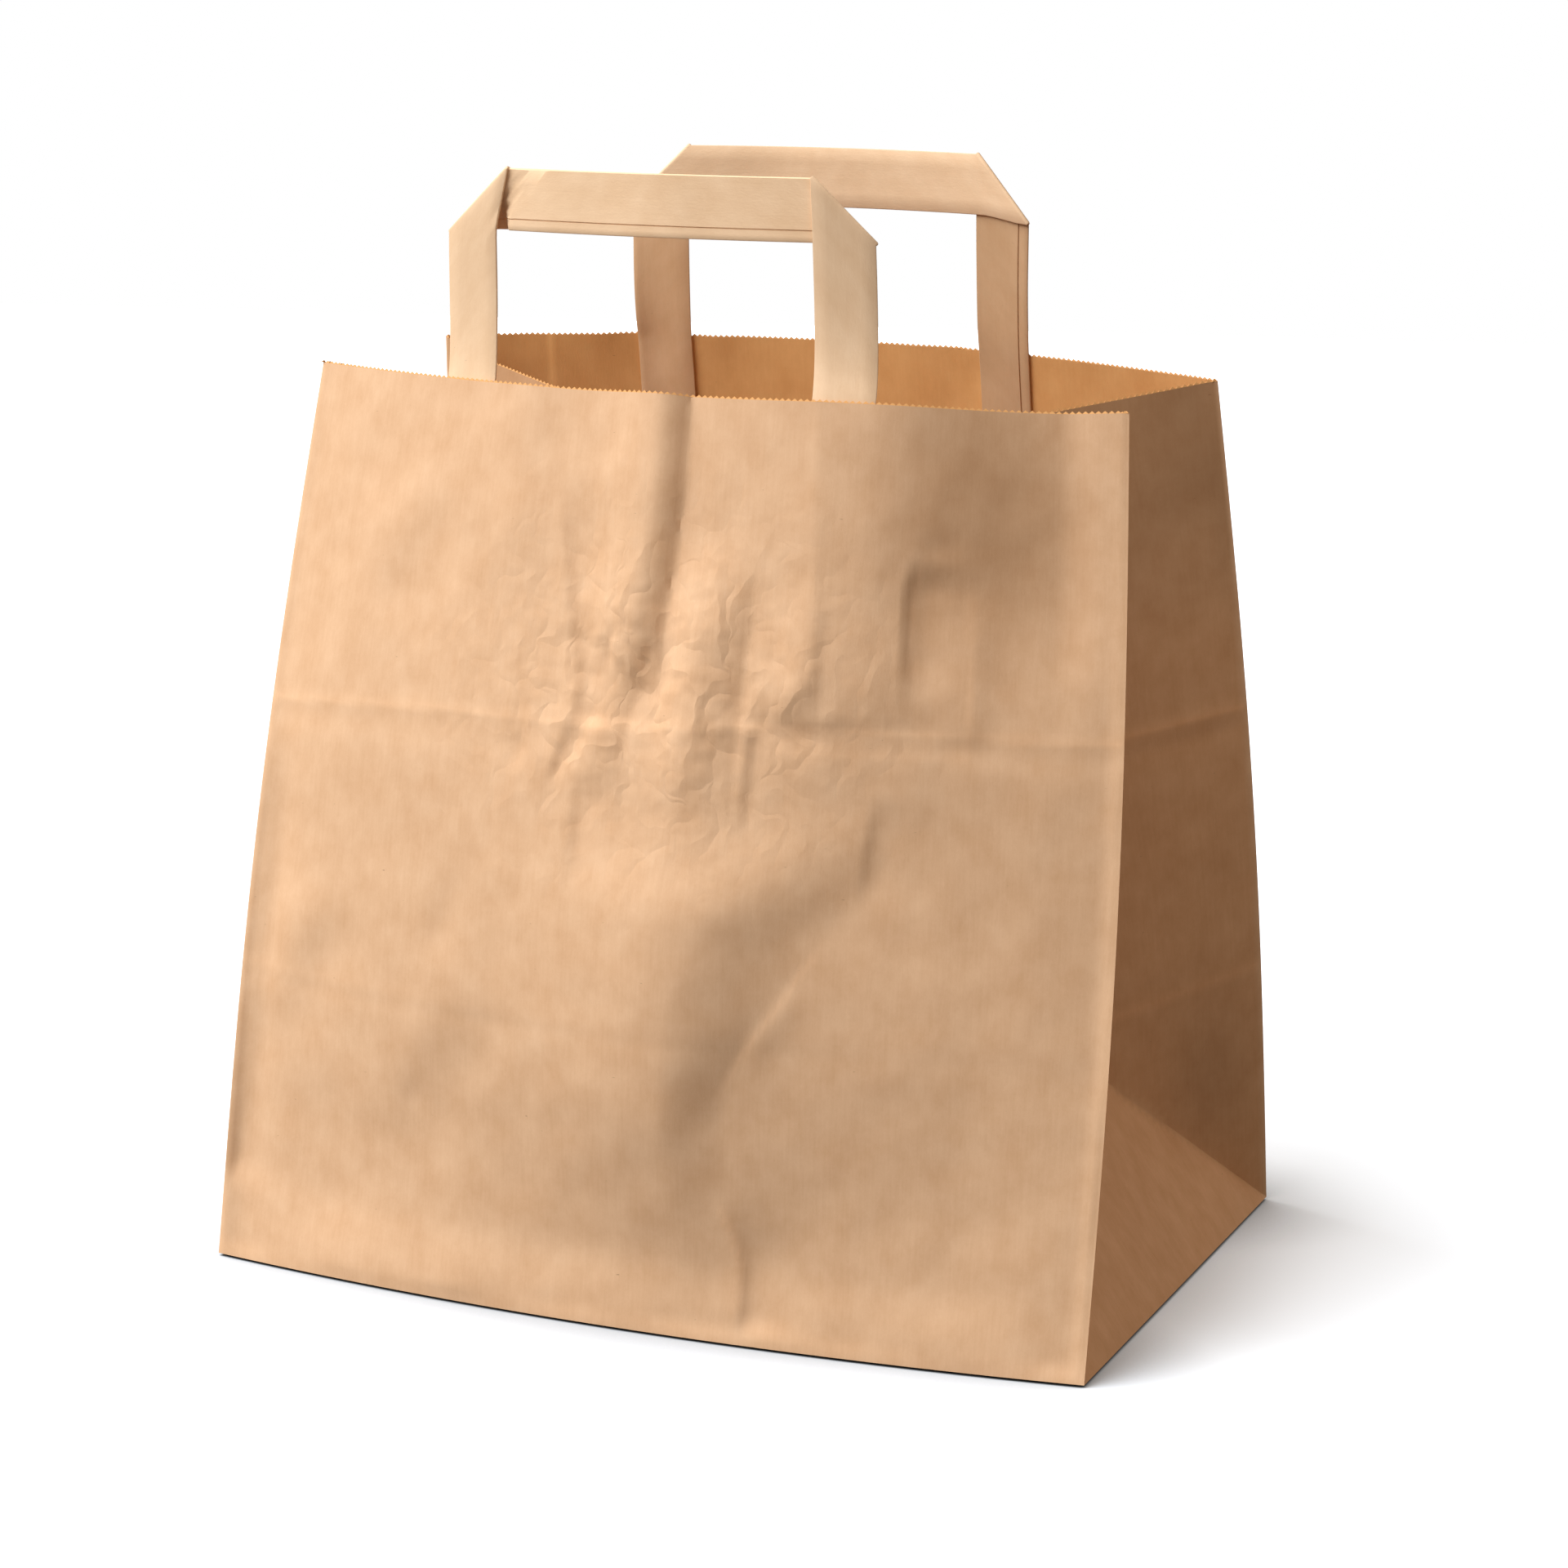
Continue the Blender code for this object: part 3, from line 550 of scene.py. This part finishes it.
def kraft_material(name, dark, light, roughness, uv_name, bump):
    """Brown paper: its colour follows the fibres, and its surface has their fine relief and sharp crumples."""
    material = bpy.data.materials.new(name)
    material.use_nodes = True
    make, links = node_maker(material.node_tree), material.node_tree.links
    shader = material.node_tree.nodes["Principled BSDF"]
    place = make("ShaderNodeUVMap", uv_map=uv_name)
    to_mm = make("ShaderNodeVectorMath", {0: place, "Scale": 1000}, operation="SCALE")
    fibre = make("ShaderNodeGroup", {"Place": to_mm}, node_tree=paper_fibre)
    colour = make("ShaderNodeMix", data_type="RGBA", inputs={
        "Factor": fibre.outputs["Tone"], "A": (*dark, 1), "B": (*light, 1)})
    flecked = make("ShaderNodeMix", data_type="RGBA", inputs={
        "Factor": fibre.outputs["Fleck"], "A": colour.outputs["Result"],
        "B": (dark[0] * 0.35, dark[1] * 0.3, dark[2] * 0.3, 1)})
    # the sheet's attributes: a redder tint painted in shade, a tone of lighter lines and painted light and shade, and
    # crumples
    shade_warmth, tone, crumple = [make("ShaderNodeAttribute", attribute_name="paper " + part).outputs["Fac"]
                             for part in ("shade_warmth", "tone", "crumple")]
    redder = make("ShaderNodeMix", data_type="RGBA", blend_type="MULTIPLY", inputs={
        "Factor": shade_warmth, "A": flecked.outputs["Result"], "B": (0.98, 0.86, 0.74, 1)})
    lightness = make("ShaderNodeMath", {0: tone, 1: 1})
    toned = make("ShaderNodeVectorMath", {0: redder.outputs["Result"], "Scale": lightness},
                 operation="SCALE")
    links.new(toned.outputs[0], shader.inputs["Base Color"])
    shader.inputs["Roughness"].default_value = roughness
    shader.inputs["Specular IOR Level"].default_value = 0.2
    relief = make("ShaderNodeBump", {"Strength": bump, "Distance": 0.0001, "Height": fibre.outputs["Height"]})
    # crumples are the bent borders of cells about 13 by 30 mm
    bend = make("ShaderNodeTexNoise", {"Vector": to_mm, "Scale": 0.07, "Detail": 2})
    bent = make("ShaderNodeVectorMath", {0: bend.outputs["Color"], 1: (26, 40, 0), 2: to_mm},
                operation="MULTIPLY_ADD")
    cells = make("ShaderNodeVectorMath", {0: bent, 1: (1 / 13, 1 / 30, 0)}, operation="MULTIPLY")
    facets = make("ShaderNodeTexVoronoi", voronoi_dimensions="2D", feature="DISTANCE_TO_EDGE", inputs={
        "Vector": cells, "Scale": 1})
    masked = make("ShaderNodeMath", {0: facets, 1: crumple}, operation="MULTIPLY")
    folds = make("ShaderNodeBump", {"Strength": 0.7, "Distance": 0.0016, "Height": masked, "Normal": relief})
    links.new(folds.outputs[0], shader.inputs["Normal"])
    return material


body_paper = kraft_material("kraft paper", (0.70, 0.43, 0.245), (0.82, 0.545, 0.34), 0.68, "flat sheet", 0.25)
# the inner face is rougher, and its deeper orange is painted light bounced between the bag's walls
inner_paper_bounce_tinted = kraft_material("kraft paper inside", (0.74, 0.375, 0.135), (0.84, 0.465, 0.185), 0.8, "flat sheet", 0.4)
sheet = paper_object("bag sheet", bm, 50, body_paper, inner_paper_bounce_tinted)
wall = sheet.modifiers.new("paper thickness", "SOLIDIFY")
wall.thickness = SHEET / 1000
wall.offset = -1
wall.material_offset = 1


def evaluated_mesh(item, name):
    graph = bpy.context.evaluated_depsgraph_get()
    mesh = bpy.data.meshes.new_from_object(item.evaluated_get(graph))
    mesh.name = name
    return mesh


def toothed_edge():
    """Teeth of the cut top edge, one small flat pyramid after another along the rim of the sheet."""
    rim = tube[-1]
    upward = tube[-1] - tube[-2]
    upward /= np.linalg.norm(upward, axis=-1, keepdims=True)
    sideways = np.roll(rim, -1, axis=0) - np.roll(rim, 1, axis=0)
    inward = np.cross(upward, sideways)
    inward /= np.linalg.norm(inward, axis=-1, keepdims=True)
    line = (rim + inward * SHEET / 2) / 1000
    mesh = bpy.data.meshes.new("edge line")
    count = len(line)
    mesh.from_pydata([tuple(point) for point in line], [(i, (i + 1) % count) for i in range(count)], [])
    for name, values in (("paper up", upward), ("paper in", inward)):
        attribute = mesh.attributes.new(name, "FLOAT_VECTOR", "POINT")
        attribute.data.foreach_set("vector", values.ravel())
    item = bpy.data.objects.new("toothed edge", mesh)
    bpy.context.scene.collection.objects.link(item)

    tree = bpy.data.node_groups.new("toothed edge", "GeometryNodeTree")
    tree.interface.new_socket("Geometry", in_out="INPUT", socket_type="NodeSocketGeometry")
    tree.interface.new_socket("Geometry", in_out="OUTPUT", socket_type="NodeSocketGeometry")
    sizes = {}
    for name in ("Pitch", "Depth", "Thickness"):
        sizes[name] = tree.interface.new_socket(name, in_out="INPUT", socket_type="NodeSocketFloat").identifier
    make = node_maker(tree)
    source = make("NodeGroupInput")
    pitch, depth, thickness = [source.outputs[name] for name in sizes]
    curve = make("GeometryNodeMeshToCurve", {"Mesh": source})
    spaced = make("GeometryNodeResampleCurve", mode="LENGTH", inputs={"Curve": curve, "Length": pitch})
    base = make("ShaderNodeMath", {0: pitch, 1: math.sqrt(0.5)}, operation="MULTIPLY")
    tooth = make("GeometryNodeMeshCone", fill_type="NGON", inputs={
        "Vertices": 4, "Radius Top": 0, "Radius Bottom": base, "Depth": depth})
    turned = make("GeometryNodeTransform", {"Geometry": tooth, "Rotation": (0, 0, math.radians(45))})
    flatness = make("ShaderNodeMath", {0: thickness, 1: pitch}, operation="DIVIDE")
    flat_scale = make("ShaderNodeCombineXYZ", {"X": 1, "Y": flatness, "Z": 1})
    squashed = make("GeometryNodeTransform", {"Geometry": turned, "Scale": flat_scale})
    upwards, inwards = [make("GeometryNodeInputNamedAttribute", {"Name": name}, data_type="FLOAT_VECTOR")
                        for name in ("paper up", "paper in")]
    stand = make("FunctionNodeAlignRotationToVector", {"Vector": upwards}, axis="Z")
    face_in = make("FunctionNodeAlignRotationToVector", {"Rotation": stand, "Vector": inwards},
                   axis="Y", pivot_axis="Z")
    place = make("GeometryNodeInstanceOnPoints", {"Points": spaced, "Instance": squashed, "Rotation": face_in})
    real = make("GeometryNodeRealizeInstances", {"Geometry": place})
    make("NodeGroupOutput", {"Geometry": make("GeometryNodeSetMaterial", {"Geometry": real, "Material": body_paper})})
    modifier = item.modifiers.new("toothed edge", "NODES")
    modifier.node_group = tree
    for name, size in (("Pitch", TOOTH_PITCH), ("Depth", TOOTH_DEPTH), ("Thickness", SHEET)):
        modifier[sizes[name]] = size / 1000
    teeth = evaluated_mesh(item, "teeth")
    bpy.data.objects.remove(item)
    return teeth


def closed_slab(bm, layers):
    """All faces of a thin sheet between two grids of vertices of the same size."""
    faces = []
    for layer in layers:
        for r in range(len(layer) - 1):
            for c in range(len(layer[0]) - 1):
                faces.append(bm.faces.new((layer[r][c], layer[r][c + 1], layer[r + 1][c + 1], layer[r + 1][c])))
    low_rim, high_rim = [layer[0] + [row[-1] for row in layer[1:]] + layer[-1][-2::-1]
                         + [row[0] for row in layer[1:-1]][::-1] for layer in layers]
    for i in range(len(low_rim)):
        j = (i + 1) % len(low_rim)
        faces.append(bm.faces.new((low_rim[i], low_rim[j], high_rim[j], high_rim[i])))
    return faces


def bottom_flap(bm, face, low, high, setback):
    """A glued flap of the block bottom: as wide as its fold, with 45 degree ends, to past the middle."""
    reach = HALF_DEPTH + 15
    share = np.linspace(0, 1, 41)
    fold = on_panel(face, share, 0 * share)
    narrow = (HALF_WIDTH - setback - reach) / HALF_WIDTH
    wide = (HALF_WIDTH - 2 * setback) / HALF_WIDTH
    rows = []
    for step in np.linspace(0, 1, 12):
        line = fold.copy()
        line[:, 0] *= wide + (narrow - wide) * step
        line[:, 1] += -face * setback + (face * (HALF_DEPTH - reach) - line[:, 1] + face * setback) * step
        rows.append(line)
    return closed_slab(bm, [[[bm.verts.new((x / 1000, y / 1000, level / 1000)) for x, y, _ in line] for line in rows]
                            for level in (low, high)])


bag_mesh = evaluated_mesh(sheet, "bag body")
bag_mesh.set_sharp_from_angle(angle=math.radians(40))
bm = bmesh.new()
bm.from_mesh(bag_mesh)
bm.from_mesh(toothed_edge())
flap_faces = bottom_flap(bm, -1, 0.40, 0.72, 2.2) + bottom_flap(bm, 1, 0.02, 0.34, 1.2)
bmesh.ops.recalc_face_normals(bm, faces=flap_faces)
uv_layer = bm.loops.layers.uv["flat sheet"]
for face in flap_faces:
    for loop in face.loops:
        loop[uv_layer].uv = (loop.vert.co.x + 1.3, loop.vert.co.y + 0.7)
bm.to_mesh(bag_mesh)
bm.free()
bpy.data.objects.remove(sheet)
bag = bpy.data.objects.new("bag_body_paper", bag_mesh)
bpy.context.scene.collection.objects.link(bag)
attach(bag, "root")
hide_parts("bag_body")

# Handles. Each is one flat tape of folded kraft paper, folded over at 45 degrees at its two top corners.
# Its legs stand inside the panel and its top band lies on their inner side; a glued patch holds the legs.
TAPE_WIDTH, TAPE_THICK = {-1: 16.5, 1: 17.3}, 0.7
HANDLE_WIDTH, HANDLE_RISE, HANDLE_BEND = 127.5, 56.8, 8.0
# by face: how far each leg is off its place, at the panel's edge and at the handle's top
LEFT_SHIFT, RIGHT_SHIFT = {-1: (0.7, 0.7), 1: (0.3, 0.3)}, {-1: (1.4, -1.1), 1: (0.0, 0.0)}
# at the left corner the leg slants and the band stands off it; each slanting fold's outer end drops
CORNER_SLANT, CORNER_GAP = {-1: 4.2, 1: 0.8}, {-1: 4.0, 1: 0.5}
LEFT_DROP, RIGHT_DROP = {-1: 1.5, 1: 0.0}, {-1: 0.4, 1: 1.9}
# painted light and shade on the tape, by face: its band is lighter, and its right legs are darker, the back one most
BAND_PAINTED_LIGHT, LEG_PAINTED_LIGHT_AND_SHADE = {-1: 0.13, 1: 0.03}, {-1: (0.05, -0.10), 1: (-0.12, -0.31)}
HANDLE_MIDDLE = {-1: -3.5, 1: -5.5}
GLUE = 0.3
CAD_SHEET = 0.4
PATCH_HEIGHT, PATCH_FROM_TOP = 50.0, 36.0
LEG_LENGTH_IN, LEG_STEPS = PATCH_FROM_TOP + PATCH_HEIGHT - 5, 61
SEAM_FROM_EDGE = 3.2


def panel_share(face, x, rise):
    left = on_corner_fold(-1, face, rise * side_height(-1))[..., 0]
    right = on_corner_fold(1, face, rise * side_height(1))[..., 0]
    return (x - left) / (right - left)


def panel_at(face, x, above):
    rise = 1 + above / BAG_HEIGHT
    return on_panel(face, panel_share(face, x, rise), rise)


def handle_sheet(face, x, above):
    """The panel's outer face with its folds, which above the top edge bends upright, as the handle stands."""
    low = np.minimum(above, 0)
    under = panel_at(face, x, low)
    leaving = under - panel_at(face, x, low - 1)
    outward = np.cross(panel_at(face, x + 1, low) - under, leaving) * -face
    outward /= np.linalg.norm(outward, axis=-1, keepdims=True)
    rise = 1 + low / BAG_HEIGHT
    form = (front_form if face < 0 else back_form)(panel_share(face, x, rise) * BAG_WIDTH, rise * BAG_HEIGHT)
    high = np.maximum(above, 0)[..., None]
    bend = HANDLE_BEND * (1 - np.exp(-high / HANDLE_BEND))
    smooth_face = under + np.array([0, 0, 1.0]) * high + (leaving - np.array([0, 0, 1.0])) * bend * (high > 0)
    return smooth_face + outward * (form[..., None] * np.exp(-high / 15))


def inside_sheet(face, x, above, depth):
    """Points `depth` inside that face, towards the middle of the bag."""
    x, above, depth = np.broadcast_arrays(np.asarray(x, float), np.asarray(above, float), np.asarray(depth, float))
    sideways = handle_sheet(face, x + 1, above) - handle_sheet(face, x - 1, above)
    upwards = handle_sheet(face, x, above + 1) - handle_sheet(face, x, above - 1)
    outward = np.cross(sideways, upwards) * -face
    outward /= np.linalg.norm(outward, axis=-1, keepdims=True)
    return handle_sheet(face, x, above) - outward * depth[..., None]


def tape_profile(tape):
    """The tape's cross-section: shares of its width, and heights off its middle; a step and groove mark its seam."""
    seam = SEAM_FROM_EDGE / tape
    half = TAPE_THICK / 2
    lip = 0.14
    top = [(0.0, 0.0), (0.004, 0.6), (0.018, 1.0), (0.25, 1.0), (0.5, 1.0), (0.75, 1.0), (0.982, 1.0), (0.996, 0.6)]
    points = [(share, height * half) for share, height in top]
    points += [(1.0, 0.0), (0.996, -half * 0.7)]
    points += [(share, -half - lip) for share in (0.982, 0.75, 0.5, 0.3, seam + 0.002)]
    points += [(seam, -half + 0.2), (seam - 0.012, -half + 0.2), (seam - 0.02, -half), (seam * 0.5, -half),
               (0.018, -half), (0.004, -half * 0.6)]
    return points


def tape_handle(name, face, node):
    left = HANDLE_MIDDLE[face] - HANDLE_WIDTH / 2
    right = HANDLE_MIDDLE[face] + HANDLE_WIDTH / 2
    tape_width = TAPE_WIDTH[face]
    leg_depth = CAD_SHEET + GLUE + TAPE_THICK / 2
    band_depth = leg_depth + TAPE_THICK + 0.3
    profile = tape_profile(tape_width)
    share, height = np.array(profile).T
    stations, length = [], []
    fold_top = HANDLE_RISE - tape_width + tape_width * share
    left_top = fold_top - LEFT_DROP[face] * (1 - share)
    right_top = fold_top - RIGHT_DROP[face] * (1 - share)
    slant_from = (HANDLE_RISE - tape_width + LEG_LENGTH_IN) / (HANDLE_RISE + LEG_LENGTH_IN)

    def go_along_leg(corner, shift, top, side, slant, steps):
        """The tape follows one leg, from its cut end up to the slanting fold or back down."""
        start = length[-1] if length else 0
        for t in steps:
            above = (top + LEG_LENGTH_IN) * t - LEG_LENGTH_IN
            x = corner + shift[0] + (shift[1] - shift[0]) * np.clip(above / HANDLE_RISE, 0, 1)
            x = x + side * tape_width * share
            x = x + slant * share * np.clip((t - slant_from) / (1 - slant_from), 0, 1)
            stations.append((x, above, leg_depth + 0 * share))
            length.append(start + abs(t - steps[0]) * (LEG_LENGTH_IN + HANDLE_RISE))

    def go_round(fold, top, turns, side):
        """The tape turns over at a slanting fold, between the layer of its leg and that of its band."""
        for turn in turns:
            out = radius * math.sin(turn) / math.sqrt(2)
            stations.append((fold + side * out, top + out, leg_depth + radius * (1 - math.cos(turn)) + 0 * share))
            length.append(length[-1] + 0.2)

    radius = (band_depth - leg_depth) / 2
    turns = np.linspace(0, math.pi, 9)[1:-1]
    go_along_leg(left, LEFT_SHIFT[face], left_top, 1, CORNER_SLANT[face], np.linspace(0, 1, LEG_STEPS))
    left_fold = stations[-1][0]
    go_round(left_fold, left_top, turns, -1)
    band_start = length[-1]
    low, high = RIGHT_SHIFT[face]
    right_fold = right + low + (high - low) * right_top / HANDLE_RISE - tape_width * share
    for t in np.interp(np.linspace(0, 1, LEG_STEPS), [0, 0.5, 1], [0, 0.2, 1]):
        # the loosely folded band stands off the leg at its lower left end, up to a crease beside the leg
        x = left_fold + (right_fold - left_fold) * t
        beyond = np.maximum(x - left_fold.min() - tape_width, 0)
        loose = CORNER_GAP[face] * (1 - share) * np.clip(1 - beyond / 3.4, 0, 1) * min(t * 12, 1)
        level = left_top + (fold_top - left_top) * smooth(t / 0.12)
        level = level + (right_top - fold_top) * smooth((t - 0.88) / 0.12)
        stations.append((x, level, band_depth + loose))
        length.append(band_start + t * HANDLE_WIDTH)
    go_round(right_fold, right_top, turns[::-1], 1)
    go_along_leg(right, RIGHT_SHIFT[face], right_top, -1, 0, np.linspace(1, 0, LEG_STEPS))
    middle = np.array([inside_sheet(face, x, above, depth) for x, above, depth in stations])
    across = middle[:, 4:5] - middle[:, 2:3]
    along = np.gradient(middle, axis=0)
    normal = np.cross(np.broadcast_to(across, along.shape), along)
    normal /= np.linalg.norm(normal, axis=-1, keepdims=True)
    wave = np.array([noise.noise(Vector((s / 26, 3.7 * face, 0.5))) for s in length])
    normal_sign = 1 if face < 0 else -1
    heights = np.broadcast_to(height, (len(stations), len(height))).copy()
    if face > 0:
        # the seam is pressed quite flat on the left leg
        seam_points = height < -TAPE_THICK * 0.4
        seam_points |= (height < 0) & (share < 1.2 * SEAM_FROM_EDGE / tape_width) & (share > 0.01)
        heights[:LEG_STEPS + 4, seam_points] = -TAPE_THICK / 2
    tape = middle + normal * (heights * normal_sign)[:, :, None]
    length = np.array(length)
    tape[:, :, 1] += (0.5 * wave * smooth(length / 60) * smooth((length[-1] - length) / 60))[:, None]
    bm = bmesh.new()
    tone_layer = bm.verts.layers.float.new("paper tone")
    shade_warm_layer = bm.verts.layers.float.new("paper shade_warmth")
    rows = [[bm.verts.new(point / 1000) for point in row] for row in tape]
    for index, row in enumerate(rows):
        on_leg = index < LEG_STEPS + 4 or index > len(rows) - LEG_STEPS - 5
        for vert in row:
            # painted light and shade by band and leg, and a redder painted shade on the back handle's legs
            vert[tone_layer] = LEG_PAINTED_LIGHT_AND_SHADE[face][index > len(rows) / 2] if on_leg else BAND_PAINTED_LIGHT[face]
            vert[shade_warm_layer] = 0.9 if on_leg and face > 0 else 0.0
    uv_layer = bm.loops.layers.uv.new("flat tape")
    count = len(profile)
    for r in range(len(rows) - 1):
        for c in range(count):
            n = (c + 1) % count
            new = bm.faces.new((rows[r][c], rows[r][n], rows[r + 1][n], rows[r + 1][c]))
            for loop, (row, column) in zip(new.loops, ((r, c), (r, n), (r + 1, n), (r + 1, c))):
                flip = 0.1 if c >= 8 else 0.0
                loop[uv_layer].uv = (share[column] * tape_width / 1000 + flip, length[row] / 1000)
    for row in (rows[0], rows[-1]):
        bm.faces.new(row)
    bmesh.ops.recalc_face_normals(bm, faces=bm.faces)
    item = paper_object(name, bm, 35, tape_paper)
    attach(item, "root")
    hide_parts(node)


tape_paper = kraft_material("handle tape", (0.80, 0.55, 0.34), (0.90, 0.655, 0.435), 0.55, "flat tape", 0.35)
tape_handle("front_handle_tape", -1, "front_handle")
tape_handle("back_handle_tape", 1, "back_handle")


# Handle patches. Each is a rectangle of kraft paper glued inside a panel over the ends of the two legs.
# It lies flat on the panel between them and steps up over each leg.
PATCH_WIDTH, PATCH_THICK = 188.0, 0.25


def handle_patch(name, face, node):
    left = HANDLE_MIDDLE[face] - HANDLE_WIDTH / 2
    right = HANDLE_MIDDLE[face] + HANDLE_WIDTH / 2
    x = np.linspace(HANDLE_MIDDLE[face] - PATCH_WIDTH / 2, HANDLE_MIDDLE[face] + PATCH_WIDTH / 2, 126)
    above = np.linspace(-PATCH_FROM_TOP - PATCH_HEIGHT, -PATCH_FROM_TOP, 27)
    from_left = x - left - LEFT_SHIFT[face][0]
    from_right = right + RIGHT_SHIFT[face][0] - x
    beside = np.minimum(np.maximum(np.maximum(-from_left, from_left - TAPE_WIDTH[face]), 0),
                        np.maximum(np.maximum(-from_right, from_right - TAPE_WIDTH[face]), 0))
    near = CAD_SHEET + GLUE + (TAPE_THICK + GLUE) * (1 - smooth((beside - 0.3) / 2.2))
    grid_x, grid_above = np.meshgrid(x, above)
    depth = np.broadcast_to(near, grid_x.shape)
    bm = bmesh.new()
    uv_layer = bm.loops.layers.uv.new("flat patch")
    layers = []
    for extra in (0, PATCH_THICK):
        points = inside_sheet(face, grid_x, grid_above, depth + extra)
        layers.append([[bm.verts.new(point / 1000) for point in row] for row in points])
    closed_slab(bm, layers)
    for new in bm.faces:
        for loop in new.loops:
            loop[uv_layer].uv = (loop.vert.co.x + 0.4, loop.vert.co.z)
    bmesh.ops.recalc_face_normals(bm, faces=bm.faces)
    item = paper_object(name, bm, 40, patch_paper)
    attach(item, "root")
    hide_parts(node)


patch_paper = kraft_material("patch paper", (0.62, 0.40, 0.235), (0.76, 0.52, 0.33), 0.65, "flat patch", 0.5)
handle_patch("front_patch_paper", -1, "front_handle_patch")
handle_patch("back_patch_paper", 1, "back_handle_patch")

# Floor, light and camera. The floor is a plain white studio surface that keeps the bag's shadow.
floor_mesh = bpy.data.meshes.new("floor")
floor_mesh.from_pydata([(-4, -4, 0), (4, -4, 0), (4, 4, 0), (-4, 4, 0)], [], [(0, 1, 2, 3)])
floor = bpy.data.objects.new("floor", floor_mesh)
bpy.context.scene.collection.objects.link(floor)
floor_paint = bpy.data.materials.new("white floor")
floor_paint.use_nodes = True
make, links = node_maker(floor_paint.node_tree), floor_paint.node_tree.links
shader = floor_paint.node_tree.nodes["Principled BSDF"]
shader.inputs["Roughness"].default_value = 1
shader.inputs["Specular IOR Level"].default_value = 0
shader.inputs["Emission Color"].default_value = (1, 1, 1, 1)
seen = make("ShaderNodeLightPath").outputs["Is Camera Ray"]
tone = make("ShaderNodeMix", data_type="RGBA", inputs={
    "Factor": seen, "A": (0.14, 0.14, 0.14, 1), "B": (0.80, 0.87, 0.95, 1)})
# a soft contact shadow where the bag stands, painted into the floor's colour and glow from ambient occlusion
painted_contact_shadow = make("ShaderNodeAmbientOcclusion", {"Color": tone.outputs["Result"], "Distance": 0.042}, samples=16)
squared = make("ShaderNodeMath", {0: painted_contact_shadow.outputs["AO"], 1: 2}, operation="POWER")
lit = make("ShaderNodeMath", {0: seen, 1: 0.40}, operation="MULTIPLY")
glow = make("ShaderNodeMath", {0: lit, 1: squared}, operation="MULTIPLY")
links.new(painted_contact_shadow.outputs["Color"], shader.inputs["Base Color"])
links.new(glow.outputs[0], shader.inputs["Emission Strength"])
floor_mesh.materials.append(floor_paint)

world = bpy.data.worlds.new("studio")
bpy.context.scene.world = world
world.use_nodes = True
make, links = node_maker(world.node_tree), world.node_tree.links
background = world.node_tree.nodes["Background"]
rays = make("ShaderNodeLightPath")
either = make("ShaderNodeMath", {0: rays.outputs["Is Camera Ray"], 1: rays.outputs["Is Glossy Ray"]},
              operation="MAXIMUM")
direct = make("ShaderNodeMath", {0: either, 1: rays.outputs["Is Transmission Ray"]}, operation="MAXIMUM")
level = make("ShaderNodeMapRange", {"Value": direct, "To Min": 0.38, "To Max": 1.0})
fill = make("ShaderNodeMix", data_type="RGBA", inputs={
    "Factor": direct, "A": (1.0, 0.84, 0.70, 1), "B": (1, 1, 1, 1)})
links.new(level.outputs[0], background.inputs["Strength"])
links.new(fill.outputs["Result"], background.inputs["Color"])

sun = bpy.data.lights.new("softbox", "SUN")
sun.energy = 4.3
sun.angle = math.radians(56)
sun_object = bpy.data.objects.new("softbox", sun)
azimuth, elevation = math.radians(-52), math.radians(51)
towards = Vector((math.sin(azimuth) * math.cos(elevation), -math.cos(azimuth) * math.cos(elevation),
                  math.sin(elevation)))
sun_object.rotation_euler = towards.to_track_quat("Z", "Y").to_euler()
bpy.context.scene.collection.objects.link(sun_object)

camera = bpy.data.cameras.new("camera")
camera.lens = 78.75
camera.sensor_width = 36
camera.clip_start = 0.05
camera_object = bpy.data.objects.new("camera", camera)
camera_object.location = (0.39291, -0.87756, 0.32026)
camera_object.rotation_euler = (math.radians(90 - 11.06907), 0, math.radians(23.62626))
bpy.context.scene.collection.objects.link(camera_object)
bpy.context.scene.camera = camera_object
bpy.context.scene.view_settings.view_transform = "Standard"
